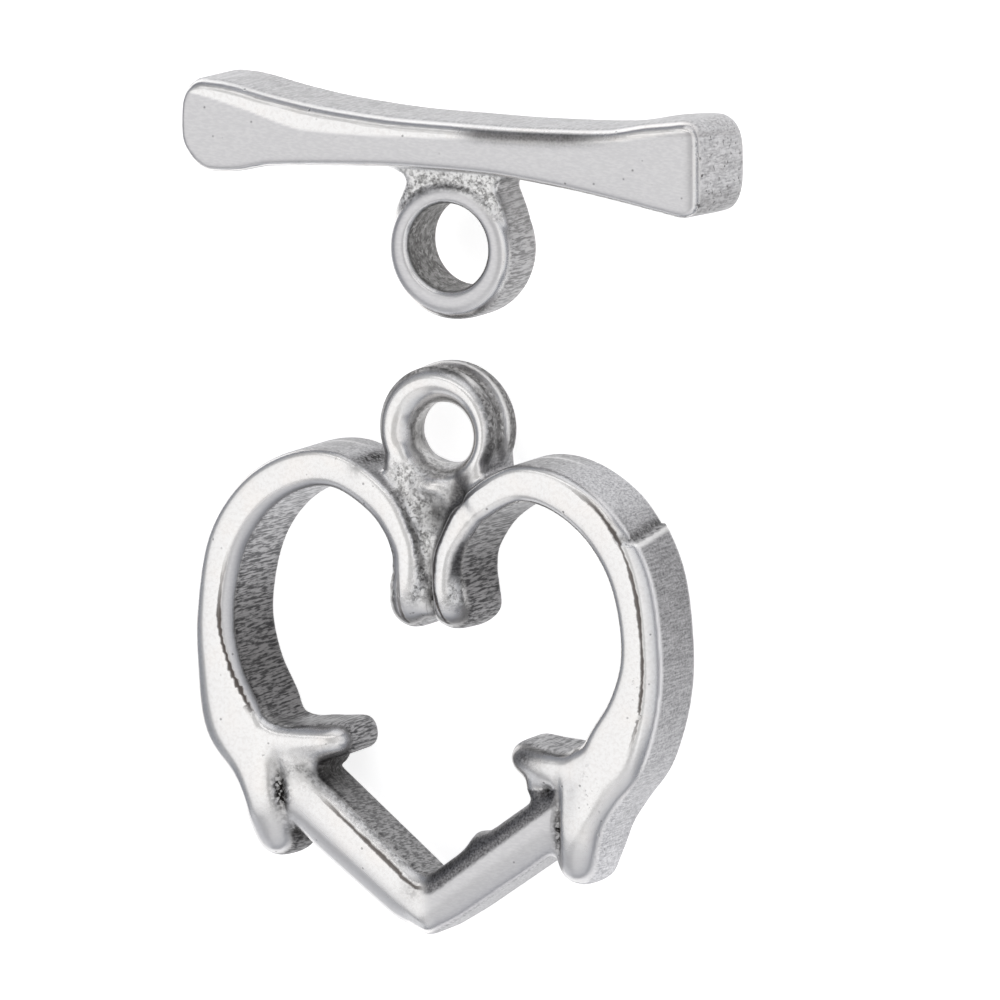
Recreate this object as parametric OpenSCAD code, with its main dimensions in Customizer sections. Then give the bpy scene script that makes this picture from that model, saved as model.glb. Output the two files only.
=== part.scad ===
// Heart toggle clasp: a heart-shaped ring and a toggle bar, each one casting with a link eye.
// Both castings lie on their backs at z = 0, front up, with the eyes facing each other along Y.

/* [Heart ring] */
// Width of the heart across its two arms
heart_w = 18.9; // [17.6:0.1:21]
// Length of the heart from the top of its lobes to the tip of its link
heart_l = 17.9; // [17:0.1:20]
// Depth of the heart from back to front
heart_d = 3.4; // [2.8:0.1:4]
// Width of an arm at the side of the heart
arm_w = 1.6; // [1.3:0.05:1.9]
// How much wider an arm is at its back, on the inside of the heart
arm_draft = 0.15; // [0:0.05:0.3]
// Rounding of the front edges of the arms
front_round = 0.32; // [0.2:0.02:0.4]
// Rounding of the back edges of the arms
back_round = 0.28; // [0.15:0.01:0.35]
// Width of the V-shaped link at its tip
link_w = 1.5; // [1.2:0.05:1.7]
// Width of the link where it meets the arms
link_end_w = 2.1; // [1.7:0.05:2.3]
// How much narrower the link is at its back, on the inside of the heart
link_draft = 0.35; // [0:0.05:0.4]
// How far the front of the link lies behind the front of the arms
link_step = 0.15; // [0.05:0.05:0.4]
// How far the front of the stem between the noses lies behind the front of the arms
stem_step = 0.5; // [0.3:0.05:0.9]

/* [Heart eye] */
// Outer diameter of the eye
heart_eye_d = 4.8; // [4.4:0.1:5.2]
// Bore of the eye
heart_bore_d = 2.3; // [2:0.1:2.6]
// How far the bore sits below the centre of the eye, towards the heart
heart_bore_low = 0.25; // [0:0.05:0.3]
// Thickness of the eye
heart_eye_t = 2.6; // [2.2:0.1:2.8]
// Height of the back of the eye above the back of the arms
heart_eye_lift = 0.2; // [0:0.05:0.3]
// Rounding of the outer edges of the eye
heart_eye_round = 0.65; // [0.3:0.05:0.9]
// Straight length of the bore between its two countersinks
heart_bore_l = 1; // [0.8:0.1:1.4]
// Distance from the top of the lobes up to the centre of the eye
heart_eye_rise = 0.85; // [0.4:0.05:1]
// Width and depth of the countersink at the back of the bore
back_sink = 0.6; // [0.2:0.05:0.7]
// Width of the countersink at the front of the bore
front_sink = 0.65; // [0.3:0.05:0.7]

/* [Toggle bar] */
// Length of the bar
bar_l = 21.4; // [19.5:0.1:23]
// Height of the bar at its ends
bar_end_h = 3.35; // [2.8:0.05:3.6]
// Height of the bar at its slim middle
bar_mid_h = 1.65; // [1.3:0.05:1.9]
// Depth of the bar from back to front
bar_d = 3.6; // [3.2:0.1:4]
// Rounding of the long edges of the bar
bar_round = 0.35; // [0.2:0.05:0.5]

/* [Bar eye] */
// Outer diameter of the eye
bar_eye_d = 5.1; // [4.5:0.1:5.3]
// Bore of the eye
bar_bore_d = 3.2; // [2.8:0.1:3.3]
// How far the bore sits above the centre of the eye, towards the bar
bar_bore_high = 0.15; // [0:0.05:0.2]
// Thickness of the eye
bar_eye_t = 2.6; // [2:0.1:2.8]
// Rounding of the outer edges of the eye
bar_eye_round = 0.65; // [0.3:0.05:0.8]
// Width of the neck under the bar
neck_w = 3.5; // [3:0.1:3.8]
// Thickness of the neck
neck_t = 2.1; // [1.6:0.1:2.4]
// Distance from the middle of the bar down to the centre of the eye
bar_eye_drop = 4.0; // [3.8:0.05:4.4]

/* [Layout] */
// Gap between the two eyes as the pieces lie
lay_gap = 1.65; // [0.8:0.05:4]
// How far the heart lies to the left of the middle of the bar
lay_shift = 0.65; // [0:0.05:1]

/* [Hidden] */
$fn = 64;
steel = "silver";

// Points laid round each corner of a section, and steps between two rows of a table
CORNER = 3;
STEPS = 3;

// Rows that round off an end, the angle at which the last one cuts it flat,
// and the share of the depth that its front and back fall in by
CAP = 4;
CAP_TURN = 82;
END_ROUND = 0.3;

// Most that a rounding takes of the width of a narrow section, at the front and at the back
NARROW_FRONT = 0.45;
NARROW_BACK = 0.4;

// What a hole's cutter runs past a face
over = 1;

// Half the spread of the arms' middle lines, which the x shares follow
arm_x = (heart_w - arm_w) / 2;

// Length of all that is laid out, from the tip of the link to the top of the bar's ends
lay_l = heart_l + heart_eye_rise + heart_eye_d / 2 + lay_gap + bar_eye_d / 2 + bar_eye_drop + bar_end_h / 2;

// Top of the heart's lobes and middle line of the bar
heart_y = heart_l - lay_l / 2;
bar_y = (lay_l - bar_end_h) / 2;

// The arm, from nose to tail, one row for each section of its middle line:
// x and y as shares of arm_x and heart_l, width as a share of arm_w, back and front as shares of heart_d
ARM = [
    [0.098, 0.320, 0.92, 0.00, 0.98],
    [0.091, 0.285, 0.84, 0.00, 1.00],
    [0.090, 0.240, 0.70, 0.00, 1.00],
    [0.112, 0.185, 0.68, 0.00, 1.00],
    [0.218, 0.105, 0.78, 0.00, 1.00],
    [0.416, 0.045, 0.86, 0.00, 1.00],
    [0.615, 0.054, 0.92, 0.00, 1.00],
    [0.812, 0.118, 0.96, 0.00, 1.00],
    [0.948, 0.222, 0.98, 0.00, 1.00],
    [1.000, 0.365, 0.96, 0.00, 1.00],
    [0.975, 0.480, 1.16, 0.00, 1.00],
    [0.896, 0.588, 1.46, 0.00, 1.00],
    [0.810, 0.668, 1.22, 0.00, 1.00],
    [0.764, 0.728, 0.92, 0.05, 1.00],
    [0.740, 0.785, 0.80, 0.14, 0.97],
    [0.724, 0.828, 0.70, 0.20, 0.92]
];

// The prong, from inside the arm to its tip, in the columns of the arm's table
PRONG = [
    [0.980, 0.490, 0.80, 0.01, 0.97],
    [0.910, 0.555, 0.96, 0.01, 0.97],
    [0.795, 0.600, 1.05, 0.01, 0.98],
    [0.674, 0.615, 1.06, 0.01, 0.98],
    [0.552, 0.616, 1.00, 0.01, 0.98],
    [0.432, 0.610, 0.80, 0.03, 0.95]
];

// The stem that fills the cleft, from the eye down to the noses:
// y as a share of heart_l, width as a share of heart_eye_d, front from the eye's at 0 to the stem's at 1
STEM = [
    [-0.010, 0.98, 0.00],
    [0.020, 1.06, 0.00],
    [0.060, 1.00, 0.05],
    [0.100, 0.74, 0.20],
    [0.150, 0.44, 0.50],
    [0.210, 0.30, 0.85],
    [0.280, 0.26, 1.00],
    [0.340, 0.24, 1.00]
];

// Where the link ends inside a fork, as shares of arm_x and heart_l
LINK_TOP = [0.745, 0.671];

// The bar from its middle to one end:
// x as a share of half bar_l, height from bar_mid_h at 0 to bar_end_h at 1, depth as a share of bar_d
BAR = [
    [0.00, 0.00, 1.00],
    [0.22, 0.03, 1.00],
    [0.45, 0.24, 1.00],
    [0.65, 0.56, 1.00],
    [0.82, 0.88, 1.00],
    [0.92, 1.00, 1.00],
    [0.97, 0.94, 0.97],
    [1.00, 0.62, 0.86]
];

// The neck from inside the bar to its eye:
// y as a share of bar_eye_drop, width from neck_w at 0 to bar_eye_d at 1
NECK = [
    [0.00, 0.00],
    [0.22, 0.02],
    [0.46, 0.30],
    [0.68, 0.72],
    [0.88, 0.96]
];

// A point of a smooth curve through four rows, at share t between the middle two
function blend(a, b, c, d, t) =
    (2 * b + (c - a) * t + (2 * a - 5 * b + 4 * c - d) * t * t + (3 * b - a - 3 * c + d) * t * t * t) / 2;

// The rows of a table with STEPS steps of a smooth curve between each two
function smooth(rows) =
    let (last = len(rows) - 1)
    [
        for (i = [0 : last - 1], k = [0 : STEPS - 1])
            blend(rows[max(i - 1, 0)], rows[i], rows[i + 1], rows[min(i + 2, last)], k / STEPS),
        rows[last]
    ];

// A table of the arm's shares as sizes: x, y, width, back, front
function sized(rows) =
    [for (r = rows) [r[0] * arm_x, -r[1] * heart_l, r[2] * arm_w, r[3] * heart_d, r[4] * heart_d]];

// Rows that round off the end of a curve, which comes from row a to its last row b
function cap(a, b) =
    let (step = [b[0] - a[0], b[1] - a[1]], way = step / norm(step))
    [
        for (k = [1 : CAP])
            let (turn = CAP_TURN * k / CAP, in = END_ROUND * (b[4] - b[3]) * (1 - cos(turn)))
            [
                b[0] + way[0] * b[2] / 2 * sin(turn),
                b[1] + way[1] * b[2] / 2 * sin(turn),
                b[2] * cos(turn),
                b[3] + in,
                b[4] - in
            ]
    ];

// A list in the other order
function back_to_front(rows) = [for (i = [len(rows) - 1 : -1 : 0]) rows[i]];

// Rows with their last end rounded off, or both ends
function capped(rows) = let (last = len(rows) - 1) concat(rows, cap(rows[last - 1], rows[last]));
function capped_twice(rows) = back_to_front(capped(back_to_front(capped(rows))));

// A quarter of a round corner about c, from angle a, with radius r
function corner(c, a, r) =
    [for (k = [0 : CORNER - 1]) let (turn = a + 90 * k / (CORNER - 1)) c + r * [cos(turn), sin(turn)]];

// A rounded section w wide, from low to high, as points across and up; its back is wider by draft at the right
function section(w, low, high, front, back, draft) =
    let (f = min(front, NARROW_FRONT * w), b = min(back, NARROW_BACK * w))
    concat(
        corner([w / 2 - f, high - f], 0, f),
        corner([f - w / 2, high - f], 90, f),
        corner([b - w / 2 - draft, low + b], 180, b),
        corner([w / 2 - b, low + b], 270, b)
    );

// A solid swept along rows of x, y, width, back, front, with the sections square to the curve
module sweep(rows, front, back, draft = 0) {
    last = len(rows) - 1;
    sides = 4 * CORNER;
    points = [
        for (i = [0 : last])
            let (
                ahead = rows[min(i + 1, last)],
                behind = rows[max(i - 1, 0)],
                step = [ahead[0] - behind[0], ahead[1] - behind[1]],
                way = step / norm(step)
            )
            for (p = section(rows[i][2], rows[i][3], rows[i][4], front, back, draft))
                [rows[i][0] - way[1] * p[0], rows[i][1] + way[0] * p[0], p[1]]
    ];
    walls = [
        for (i = [0 : last - 1], k = [0 : sides - 1])
            let (a = i * sides + k, b = i * sides + (k + 1) % sides)
            [a, a + sides, b + sides, b]
    ];
    caps = [[for (k = [0 : sides - 1]) k], [for (k = [sides - 1 : -1 : 0]) last * sides + k]];
    polyhedron(points, concat(walls, caps));
}

// One arm of the heart, with its nose and tail
module arm() {
    sweep(capped_twice(smooth(sized(ARM))), front_round, back_round, arm_draft);
}

// The prong that branches inwards from the foot of an arm
module prong() {
    sweep(capped(smooth(sized(PRONG))), front_round, back_round);
}

// The V-shaped link, from inside the fork of one arm to the fork of the other, mitred at its tip
module link() {
    top = [LINK_TOP[0] * arm_x, -LINK_TOP[1] * heart_l];
    slope = atan2(heart_l + top[1], top[0]);
    mitre = link_w / cos(slope);
    high = heart_d - link_step;
    sweep([
        [top[0], top[1], link_end_w, 0, high],
        [0, mitre / 2 - heart_l, mitre, 0, high],
        [-top[0], top[1], link_end_w, 0, high]
    ], front_round, back_round, -link_draft);
}

module stem() {
    eye_high = heart_eye_lift + heart_eye_t;
    sweep(smooth([for (r = STEM) [
        0, -r[0] * heart_l, r[1] * heart_eye_d, 0, eye_high + r[2] * (heart_d - stem_step - eye_high)
    ]]), front_round, back_round);
}

// A disc t thick with edges rounded by r, for an eye whose bore is cut later
module eye(outer, t, r) {
    rotate_extrude()
        polygon(concat(
            [[0, 0]],
            corner([outer / 2 - r, r], 270, r),
            corner([outer / 2 - r, t - r], 0, r),
            [[0, t]]
        ));
}

// The cone that widens the heart's bore by w at z = 0, down to nothing at z = h
module sink(w, h) {
    translate([0, 0, -h]) cylinder(d1 = heart_bore_d + 4 * w, d2 = heart_bore_d, h = 2 * h);
}

module heart_ring() {
    color(steel)
    translate([-lay_shift, heart_y, 0])
    difference() {
        union() {
            for (side = [0, 1]) mirror([side, 0, 0]) {
                arm();
                prong();
            }
            link();
            stem();
            translate([0, heart_eye_rise, heart_eye_lift]) eye(heart_eye_d, heart_eye_t, heart_eye_round);
        }
        translate([0, heart_eye_rise - heart_bore_low, heart_eye_lift]) {
            translate([0, 0, -heart_eye_lift - over]) cylinder(d = heart_bore_d, h = heart_d + 2 * over);
            sink(back_sink, back_sink);
            translate([0, 0, heart_eye_t]) mirror([0, 0, 1])
                sink(front_sink, heart_eye_t - heart_bore_l - back_sink);
        }
    }
}

// The neck that joins the bar to its eye, half its outline and then the other half
module neck() {
    half = [for (r = NECK) [(neck_w + r[1] * (bar_eye_d - neck_w)) / 2, -r[0] * bar_eye_drop]];
    translate([0, 0, (bar_d - neck_t) / 2])
    linear_extrude(neck_t)
        polygon(concat([for (p = back_to_front(half)) [-p[0], p[1]]], half));
}

module toggle_bar() {
    half = smooth([for (r = BAR) [
        r[0] * bar_l / 2, 0, bar_mid_h + r[1] * (bar_end_h - bar_mid_h), (1 - r[2]) * bar_d, r[2] * bar_d
    ]]);
    other = [for (i = [len(half) - 1 : -1 : 1]) [-half[i][0], 0, half[i][2], half[i][3], half[i][4]]];
    color(steel)
    translate([0, bar_y, 0])
    difference() {
        union() {
            sweep(concat(other, half), bar_round, bar_round);
            neck();
            translate([0, -bar_eye_drop, (bar_d - bar_eye_t) / 2]) eye(bar_eye_d, bar_eye_t, bar_eye_round);
        }
        translate([0, bar_bore_high - bar_eye_drop, -over]) cylinder(d = bar_bore_d, h = bar_d + 2 * over);
    }
}

heart_ring();
toggle_bar();
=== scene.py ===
"""Heart toggle clasp in cast steel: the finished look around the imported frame.

Both castings are modelled in millimetres, as closed limbs that are fused, eased and
sculpted into one skin each, and then written in metres in the frame's own place.
"""
from __future__ import annotations

import logging
import math
from dataclasses import dataclass, field
from enum import Enum

import bmesh
import bpy
import numpy as np
from mathutils import Matrix, Vector, noise


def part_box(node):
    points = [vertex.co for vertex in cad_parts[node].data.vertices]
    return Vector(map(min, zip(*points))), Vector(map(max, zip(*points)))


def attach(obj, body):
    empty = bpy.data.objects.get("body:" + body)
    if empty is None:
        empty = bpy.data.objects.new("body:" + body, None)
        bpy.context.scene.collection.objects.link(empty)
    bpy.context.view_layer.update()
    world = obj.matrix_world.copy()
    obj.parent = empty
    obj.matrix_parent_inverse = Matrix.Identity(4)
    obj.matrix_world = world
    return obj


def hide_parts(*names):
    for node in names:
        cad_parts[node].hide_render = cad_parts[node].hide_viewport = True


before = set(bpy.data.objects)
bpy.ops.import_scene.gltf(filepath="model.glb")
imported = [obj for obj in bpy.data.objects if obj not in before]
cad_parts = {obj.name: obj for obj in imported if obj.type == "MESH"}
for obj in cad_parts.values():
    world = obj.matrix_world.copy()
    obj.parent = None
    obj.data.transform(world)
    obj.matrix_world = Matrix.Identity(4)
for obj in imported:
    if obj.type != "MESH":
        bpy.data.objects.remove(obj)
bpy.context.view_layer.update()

MM = 0.001
# Points round a limb's section, and how flat its front bevels are: 1 is round, 2 a straight chamfer
RING = 44
BEVEL = 1.45
# Steps of a limb's curve between two rows of its table
STEPS = 6
# The same for a filler between limbs, and for an eye's profile
FILLER_STEPS, EYE_STEPS = 5, 4
# Below this weight a point isn't eased, and how far the others go to their neighbours' average
EASE_FLOOR, EASE_SHARE = 0.004, 0.5
# Swell that keeps the volume of a skin while it is eased, and the rounds that round off a crease
KEEP = 0.3
CREASE_ROUNDS = 30
# Rounds of smoothing of the surface against which a recess and a worn ridge are told
RECESS_ROUNDS, RIDGE_ROUNDS = 40, 8
log = logging.getLogger("clasp")

Point = tuple[float, float, float]
Colour = tuple[float, float, float, float]
Table = tuple[tuple[float, ...], ...]
Socket = bpy.types.NodeSocket


# ------------------------------------------------------------------ layout

HEART_W, HEART_L, HEART_D = 18.9, 17.9, 3.4
ARM_W = 1.6
ARM_X = (HEART_W - ARM_W) / 2
HEART_AT = Vector((-0.65, 2.3875, 0.0))
BAR_AT = Vector((0.0, 13.8375, 0.0))
BAR_L, BAR_D = 21.4, 3.6
BAR_HALF = BAR_L / 2
BAR_END_H, BAR_MID_H = 3.35, 1.65


class Side(Enum):
    """Which of the two mirrored arms a limb belongs to, as seen from the front."""

    LEFT = -1
    RIGHT = 1


class Band(Enum):
    """Kinds of surface on a casting, stored on its skin as attributes."""

    SATIN = "satin"
    WALL = "wall"
    SOOT = "soot"
    CRUST = "crust"
    CALM = "calm"
    # Worn ridges, and painted highlights on the heart
    WEAR_AND_HIGHLIGHT = "wear_and_highlight"
    # Painted dark reflection line beside the front's edge
    REFLECTION_LINE = "reflection_line"
    TONE = "tone"
    EDGE = "edge"
    PITS = "pits"


def smoothstep(low: float, high: float, value: np.ndarray) -> np.ndarray:
    """Soft step of a field from 0 at low to 1 at high.

    Args:
        low: value at which the step starts; it may be above high.
        high: value at which the step ends.
        value: the field.

    Returns:
        The field of steps, each from 0 to 1.
    """
    share = np.clip((value - low) / (high - low), 0.0, 1.0)
    return share * share * (3.0 - 2.0 * share)


def between(start: float, full: float, fading: float, end: float,
            value: np.ndarray) -> np.ndarray:
    """Soft window over a field: 0 up to start, 1 from full to fading, and 0 from end on.

    Args:
        start: value at which the window starts to rise.
        full: value at which it is full.
        fading: value at which it starts to fall.
        end: value at which it ends.
        value: the field.

    Returns:
        The window, from 0 to 1.
    """
    return smoothstep(start, full, value) * smoothstep(end, fading, value)


def flow(rows: list[list[float]] | Table, steps: int) -> np.ndarray:
    """Smooth curve through the rows of a table.

    Args:
        rows: the rows, each with the same columns.
        steps: steps of the curve between two rows.

    Returns:
        The rows of the curve.
    """
    table = np.array(rows, float)
    last = len(table) - 1
    made = []
    for i in range(last):
        a, b, c, d = (table[min(max(k, 0), last)] for k in (i - 1, i, i + 1, i + 2))
        for t in np.arange(steps) / steps:
            made.append((2 * b + (c - a) * t + (2 * a - 5 * b + 4 * c - d) * t * t
                         + (3 * b - a - 3 * c + d) * t ** 3) / 2)
    made.append(table[last])
    return np.array(made)


def rounded_end(rows: np.ndarray, share: float = 0.3) -> np.ndarray:
    """Adds rows that round off the last end of a limb.

    Args:
        rows: rows whose first five columns are x, y, width, back and front.
        share: share of the depth by which the end's back and front fall in.

    Returns:
        The rows with the round end.
    """
    step = rows[-1, :2] - rows[-2, :2]
    way = step / np.linalg.norm(step)
    made = [rows]
    for turn in np.radians(np.linspace(10, 84, 9)):
        row = rows[-1].copy()
        row[:2] += way * rows[-1, 2] / 2 * math.sin(turn)
        row[2] *= math.cos(turn)
        fall = share * (row[4] - row[3]) * (1 - math.cos(turn))
        row[3] += fall
        row[4] -= fall
        made.append(row[None])
    return np.concatenate(made)


def edge_ring(bm: bmesh.types.BMesh, segments: int, radius: float = 1.0,
              centre: Point = (0.0, 0.0, 0.0)
              ) -> tuple[list[bmesh.types.BMVert], list[bmesh.types.BMEdge]]:
    """Adds a level circle of edges.

    Args:
        bm: the mesh that takes it.
        segments: how many edges it has.
        radius: its radius.
        centre: its centre.

    Returns:
        Its vertices in order, and its edges.
    """
    verts = bmesh.ops.create_circle(bm, cap_ends=False, radius=radius, segments=segments,
                                    matrix=Matrix.Translation(centre))["verts"]
    return verts, list({edge for vert in verts for edge in vert.link_edges})


def closed_tube(bm: bmesh.types.BMesh, rings: list[list[bmesh.types.BMEdge]]) -> None:
    """Bridges rings of edges one after the other, and fills both ends.

    Args:
        bm: the mesh that has them.
        rings: each ring's edges.
    """
    for one, other in zip(rings, rings[1:]):
        bmesh.ops.bridge_loops(bm, edges=one + other)
    for end in (rings[0], rings[-1]):
        bmesh.ops.edgeloop_fill(bm, edges=end)


@dataclass
class Limb:
    """A closed solid swept along rows of sections that stand square to its middle line.

    Columns: x, y, width, back, front, width and drop of the outer bevel, width and drop of the
    inner bevel, back rounding, draft of the inner wall, and crown of the front.
    """

    rows: np.ndarray
    flip: bool = False

    def outline(self, row: np.ndarray) -> list[tuple[float, float]]:
        """One section's points as (across, up), from the outer wall over the front and round.

        Args:
            row: the limb's row for the section.

        Returns:
            RING points.
        """
        width, low, high, outer, outer_drop, inner, inner_drop, back, draft, crown = row[2:12]
        half = width / 2
        outer, inner = min(outer, 0.46 * width), min(inner, 0.5 * width)
        back = min(back, 0.42 * width)
        points: list[tuple[float, float]] = []

        def arc(cx: float, cy: float, start: float, rx: float, ry: float, bulge: float) -> None:
            """Adds a quarter of an ellipse.

            Args:
                cx: its middle across.
                cy: its middle up.
                start: angle at which it starts, in degrees.
                rx: its half width.
                ry: its half height.
                bulge: 1 for a round one, 2 for a straight chamfer.
            """
            for k in range(7):
                turn = math.radians(start + 15 * k)
                c, s = math.cos(turn), math.sin(turn)
                points.append((cx + rx * math.copysign(abs(c) ** bulge, c),
                               cy + ry * math.copysign(abs(s) ** bulge, s)))

        def run(to: tuple[float, float], inside: int) -> None:
            """Adds points between the last one and the next.

            Args:
                to: the next point.
                inside: how many points.
            """
            start = points[-1]
            for k in range(1, inside + 1):
                t = k / (inside + 1)
                points.append((start[0] + t * (to[0] - start[0]),
                               start[1] + t * (to[1] - start[1])))

        arc(half - outer, high - outer_drop, 0, outer, outer_drop, BEVEL)
        run((inner - half, high), 7)
        arc(inner - half, high - inner_drop, 90, inner, inner_drop, BEVEL)
        run((-half - draft, low + back), 3)
        arc(back - half - draft, low + back, 180, back, back, 1)
        run((half - back, low), 3)
        arc(half - back, low + back, 270, back, back, 1)
        run((half, high - outer_drop), 3)
        # The crown bows the front down at its sides, and leaves the back flat
        return [(across,
                 up - crown * (across / half) ** 2 * max(0.0, (up - low) / (high - low)) ** 2)
                for across, up in points]

    def build(self, bm: bmesh.types.BMesh) -> None:
        """Adds the limb to bm as a closed shell.

        Args:
            bm: the casting's mesh in the making.
        """
        last = len(self.rows) - 1
        sign = -1.0 if self.flip else 1.0
        rings = []
        for i, row in enumerate(self.rows):
            step = self.rows[min(i + 1, last), :2] - self.rows[max(i - 1, 0), :2]
            way = step / np.linalg.norm(step)
            verts, edges = edge_ring(bm, RING)
            for vert, (across, up) in zip(verts, self.outline(row)):
                vert.co = (sign * (row[0] - way[1] * across), row[1] + way[0] * across, up)
            rings.append(edges)
        closed_tube(bm, rings)

    def axis(self) -> np.ndarray:
        """Samples of the middle line.

        Returns:
            Rows of x, y, way x, way y, half width, and widths of the outer and inner bevels.
        """
        sign = -1.0 if self.flip else 1.0
        xy = self.rows[:, :2] * (sign, 1.0)
        step = np.gradient(xy, axis=0)
        way = step / np.linalg.norm(step, axis=1)[:, None]
        half, outer, inner = self.rows[:, 2] / 2, self.rows[:, 5], self.rows[:, 7]
        return np.column_stack([xy, way * sign, half, outer, inner])


def lathe(bm: bmesh.types.BMesh, centre: tuple[float, float], levels: Table,
          segments: int = 96) -> None:
    """Adds a solid turned about an upright axis.

    Args:
        bm: the mesh that takes it.
        centre: x and y of the axis.
        levels: radius and height of each ring, from the bottom up.
        segments: sides of each ring.
    """
    closed_tube(bm, [edge_ring(bm, segments, radius, (*centre, height))[1]
                     for radius, height in levels])


def eye_ring(bm: bmesh.types.BMesh, centre: tuple[float, float],
             profile: Table) -> list[bmesh.types.BMVert]:
    """Adds a link eye by spinning a closed profile about its upright axis.

    Args:
        bm: the mesh that takes it.
        centre: x and y of the axis.
        profile: radius and height of the profile's points, in order.

    Returns:
        The eye's vertices.
    """
    # The curve runs past both ends of the profile, and those steps are cut off again
    closed = flow(profile[-1:] + profile + profile[:2], EYE_STEPS)[EYE_STEPS:-EYE_STEPS - 1]
    loop, edges = edge_ring(bm, len(closed))
    for vert, (radius, height) in zip(loop, closed):
        vert.co = (centre[0] + radius, centre[1], height)
    before = set(bm.verts)
    bmesh.ops.spin(bm, geom=loop + edges, cent=(*centre, 0), axis=(0, 0, 1), angle=2 * math.pi,
                   steps=120, use_merge=True)
    return loop + [vert for vert in bm.verts if vert not in before]


def solid(bm: bmesh.types.BMesh, name: str) -> bpy.types.Mesh:
    """Turns a finished bmesh into a mesh with its faces outwards, and frees it.

    Args:
        bm: the bmesh.
        name: the mesh's name.

    Returns:
        The mesh.
    """
    bmesh.ops.remove_doubles(bm, verts=bm.verts, dist=1e-5)
    bmesh.ops.recalc_face_normals(bm, faces=bm.faces)
    mesh = bpy.data.meshes.new(name)
    bm.to_mesh(mesh)
    bm.free()
    return mesh


def joined(name: str, parts: list[bpy.types.Mesh]) -> bpy.types.Mesh:
    """One mesh of several.

    Args:
        name: its name.
        parts: the meshes; they are removed.

    Returns:
        The mesh.
    """
    bm = bmesh.new()
    for part in parts:
        bm.from_mesh(part)
    made = bpy.data.meshes.new(name)
    bm.to_mesh(made)
    bm.free()
    for part in parts:
        bpy.data.meshes.remove(part)
    return made


def placed(name: str, data: bpy.types.ID) -> bpy.types.Object:
    """Makes an object and puts it into the scene.

    Args:
        name: its name.
        data: its mesh, light or camera.

    Returns:
        The object.
    """
    made = bpy.data.objects.new(name, data)
    bpy.context.scene.collection.objects.link(made)
    return made


def shaped(mesh: bpy.types.Mesh, kind: str, **settings: object) -> bpy.types.Mesh:
    """A mesh with one modifier applied.

    Args:
        mesh: the mesh; it is removed.
        kind: the modifier's type.
        **settings: the modifier's settings.

    Returns:
        The new mesh.
    """
    holder = placed("holder", mesh)
    modifier = holder.modifiers.new("shape", kind)
    for key, value in settings.items():
        setattr(modifier, key, value)
    ready = holder.evaluated_get(bpy.context.evaluated_depsgraph_get())
    made = bpy.data.meshes.new_from_object(ready)
    bpy.data.objects.remove(holder)
    bpy.data.meshes.remove(mesh)
    return made


def carved(mesh: bpy.types.Mesh, cutter: bpy.types.Mesh) -> bpy.types.Mesh:
    """A closed mesh with another one cut out of it.

    Args:
        mesh: the mesh; it is removed.
        cutter: what is cut out; it is removed.

    Returns:
        The new mesh.
    """
    tool = placed("cutter", cutter)
    made = shaped(mesh, "BOOLEAN", object=tool, operation="DIFFERENCE", solver="EXACT")
    bpy.data.objects.remove(tool)
    bpy.data.meshes.remove(cutter)
    return made


def fused(name: str, parts: list[bpy.types.Mesh], voxel: float) -> bpy.types.Mesh:
    """Several closed meshes made into one closed skin.

    Args:
        name: the name of the joined mesh.
        parts: the meshes; they are removed.
        voxel: width of the voxels, in millimetres.

    Returns:
        The skin's mesh.
    """
    return shaped(joined(name, parts), "REMESH", mode="VOXEL", voxel_size=voxel,
                  use_smooth_shade=True)


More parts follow.
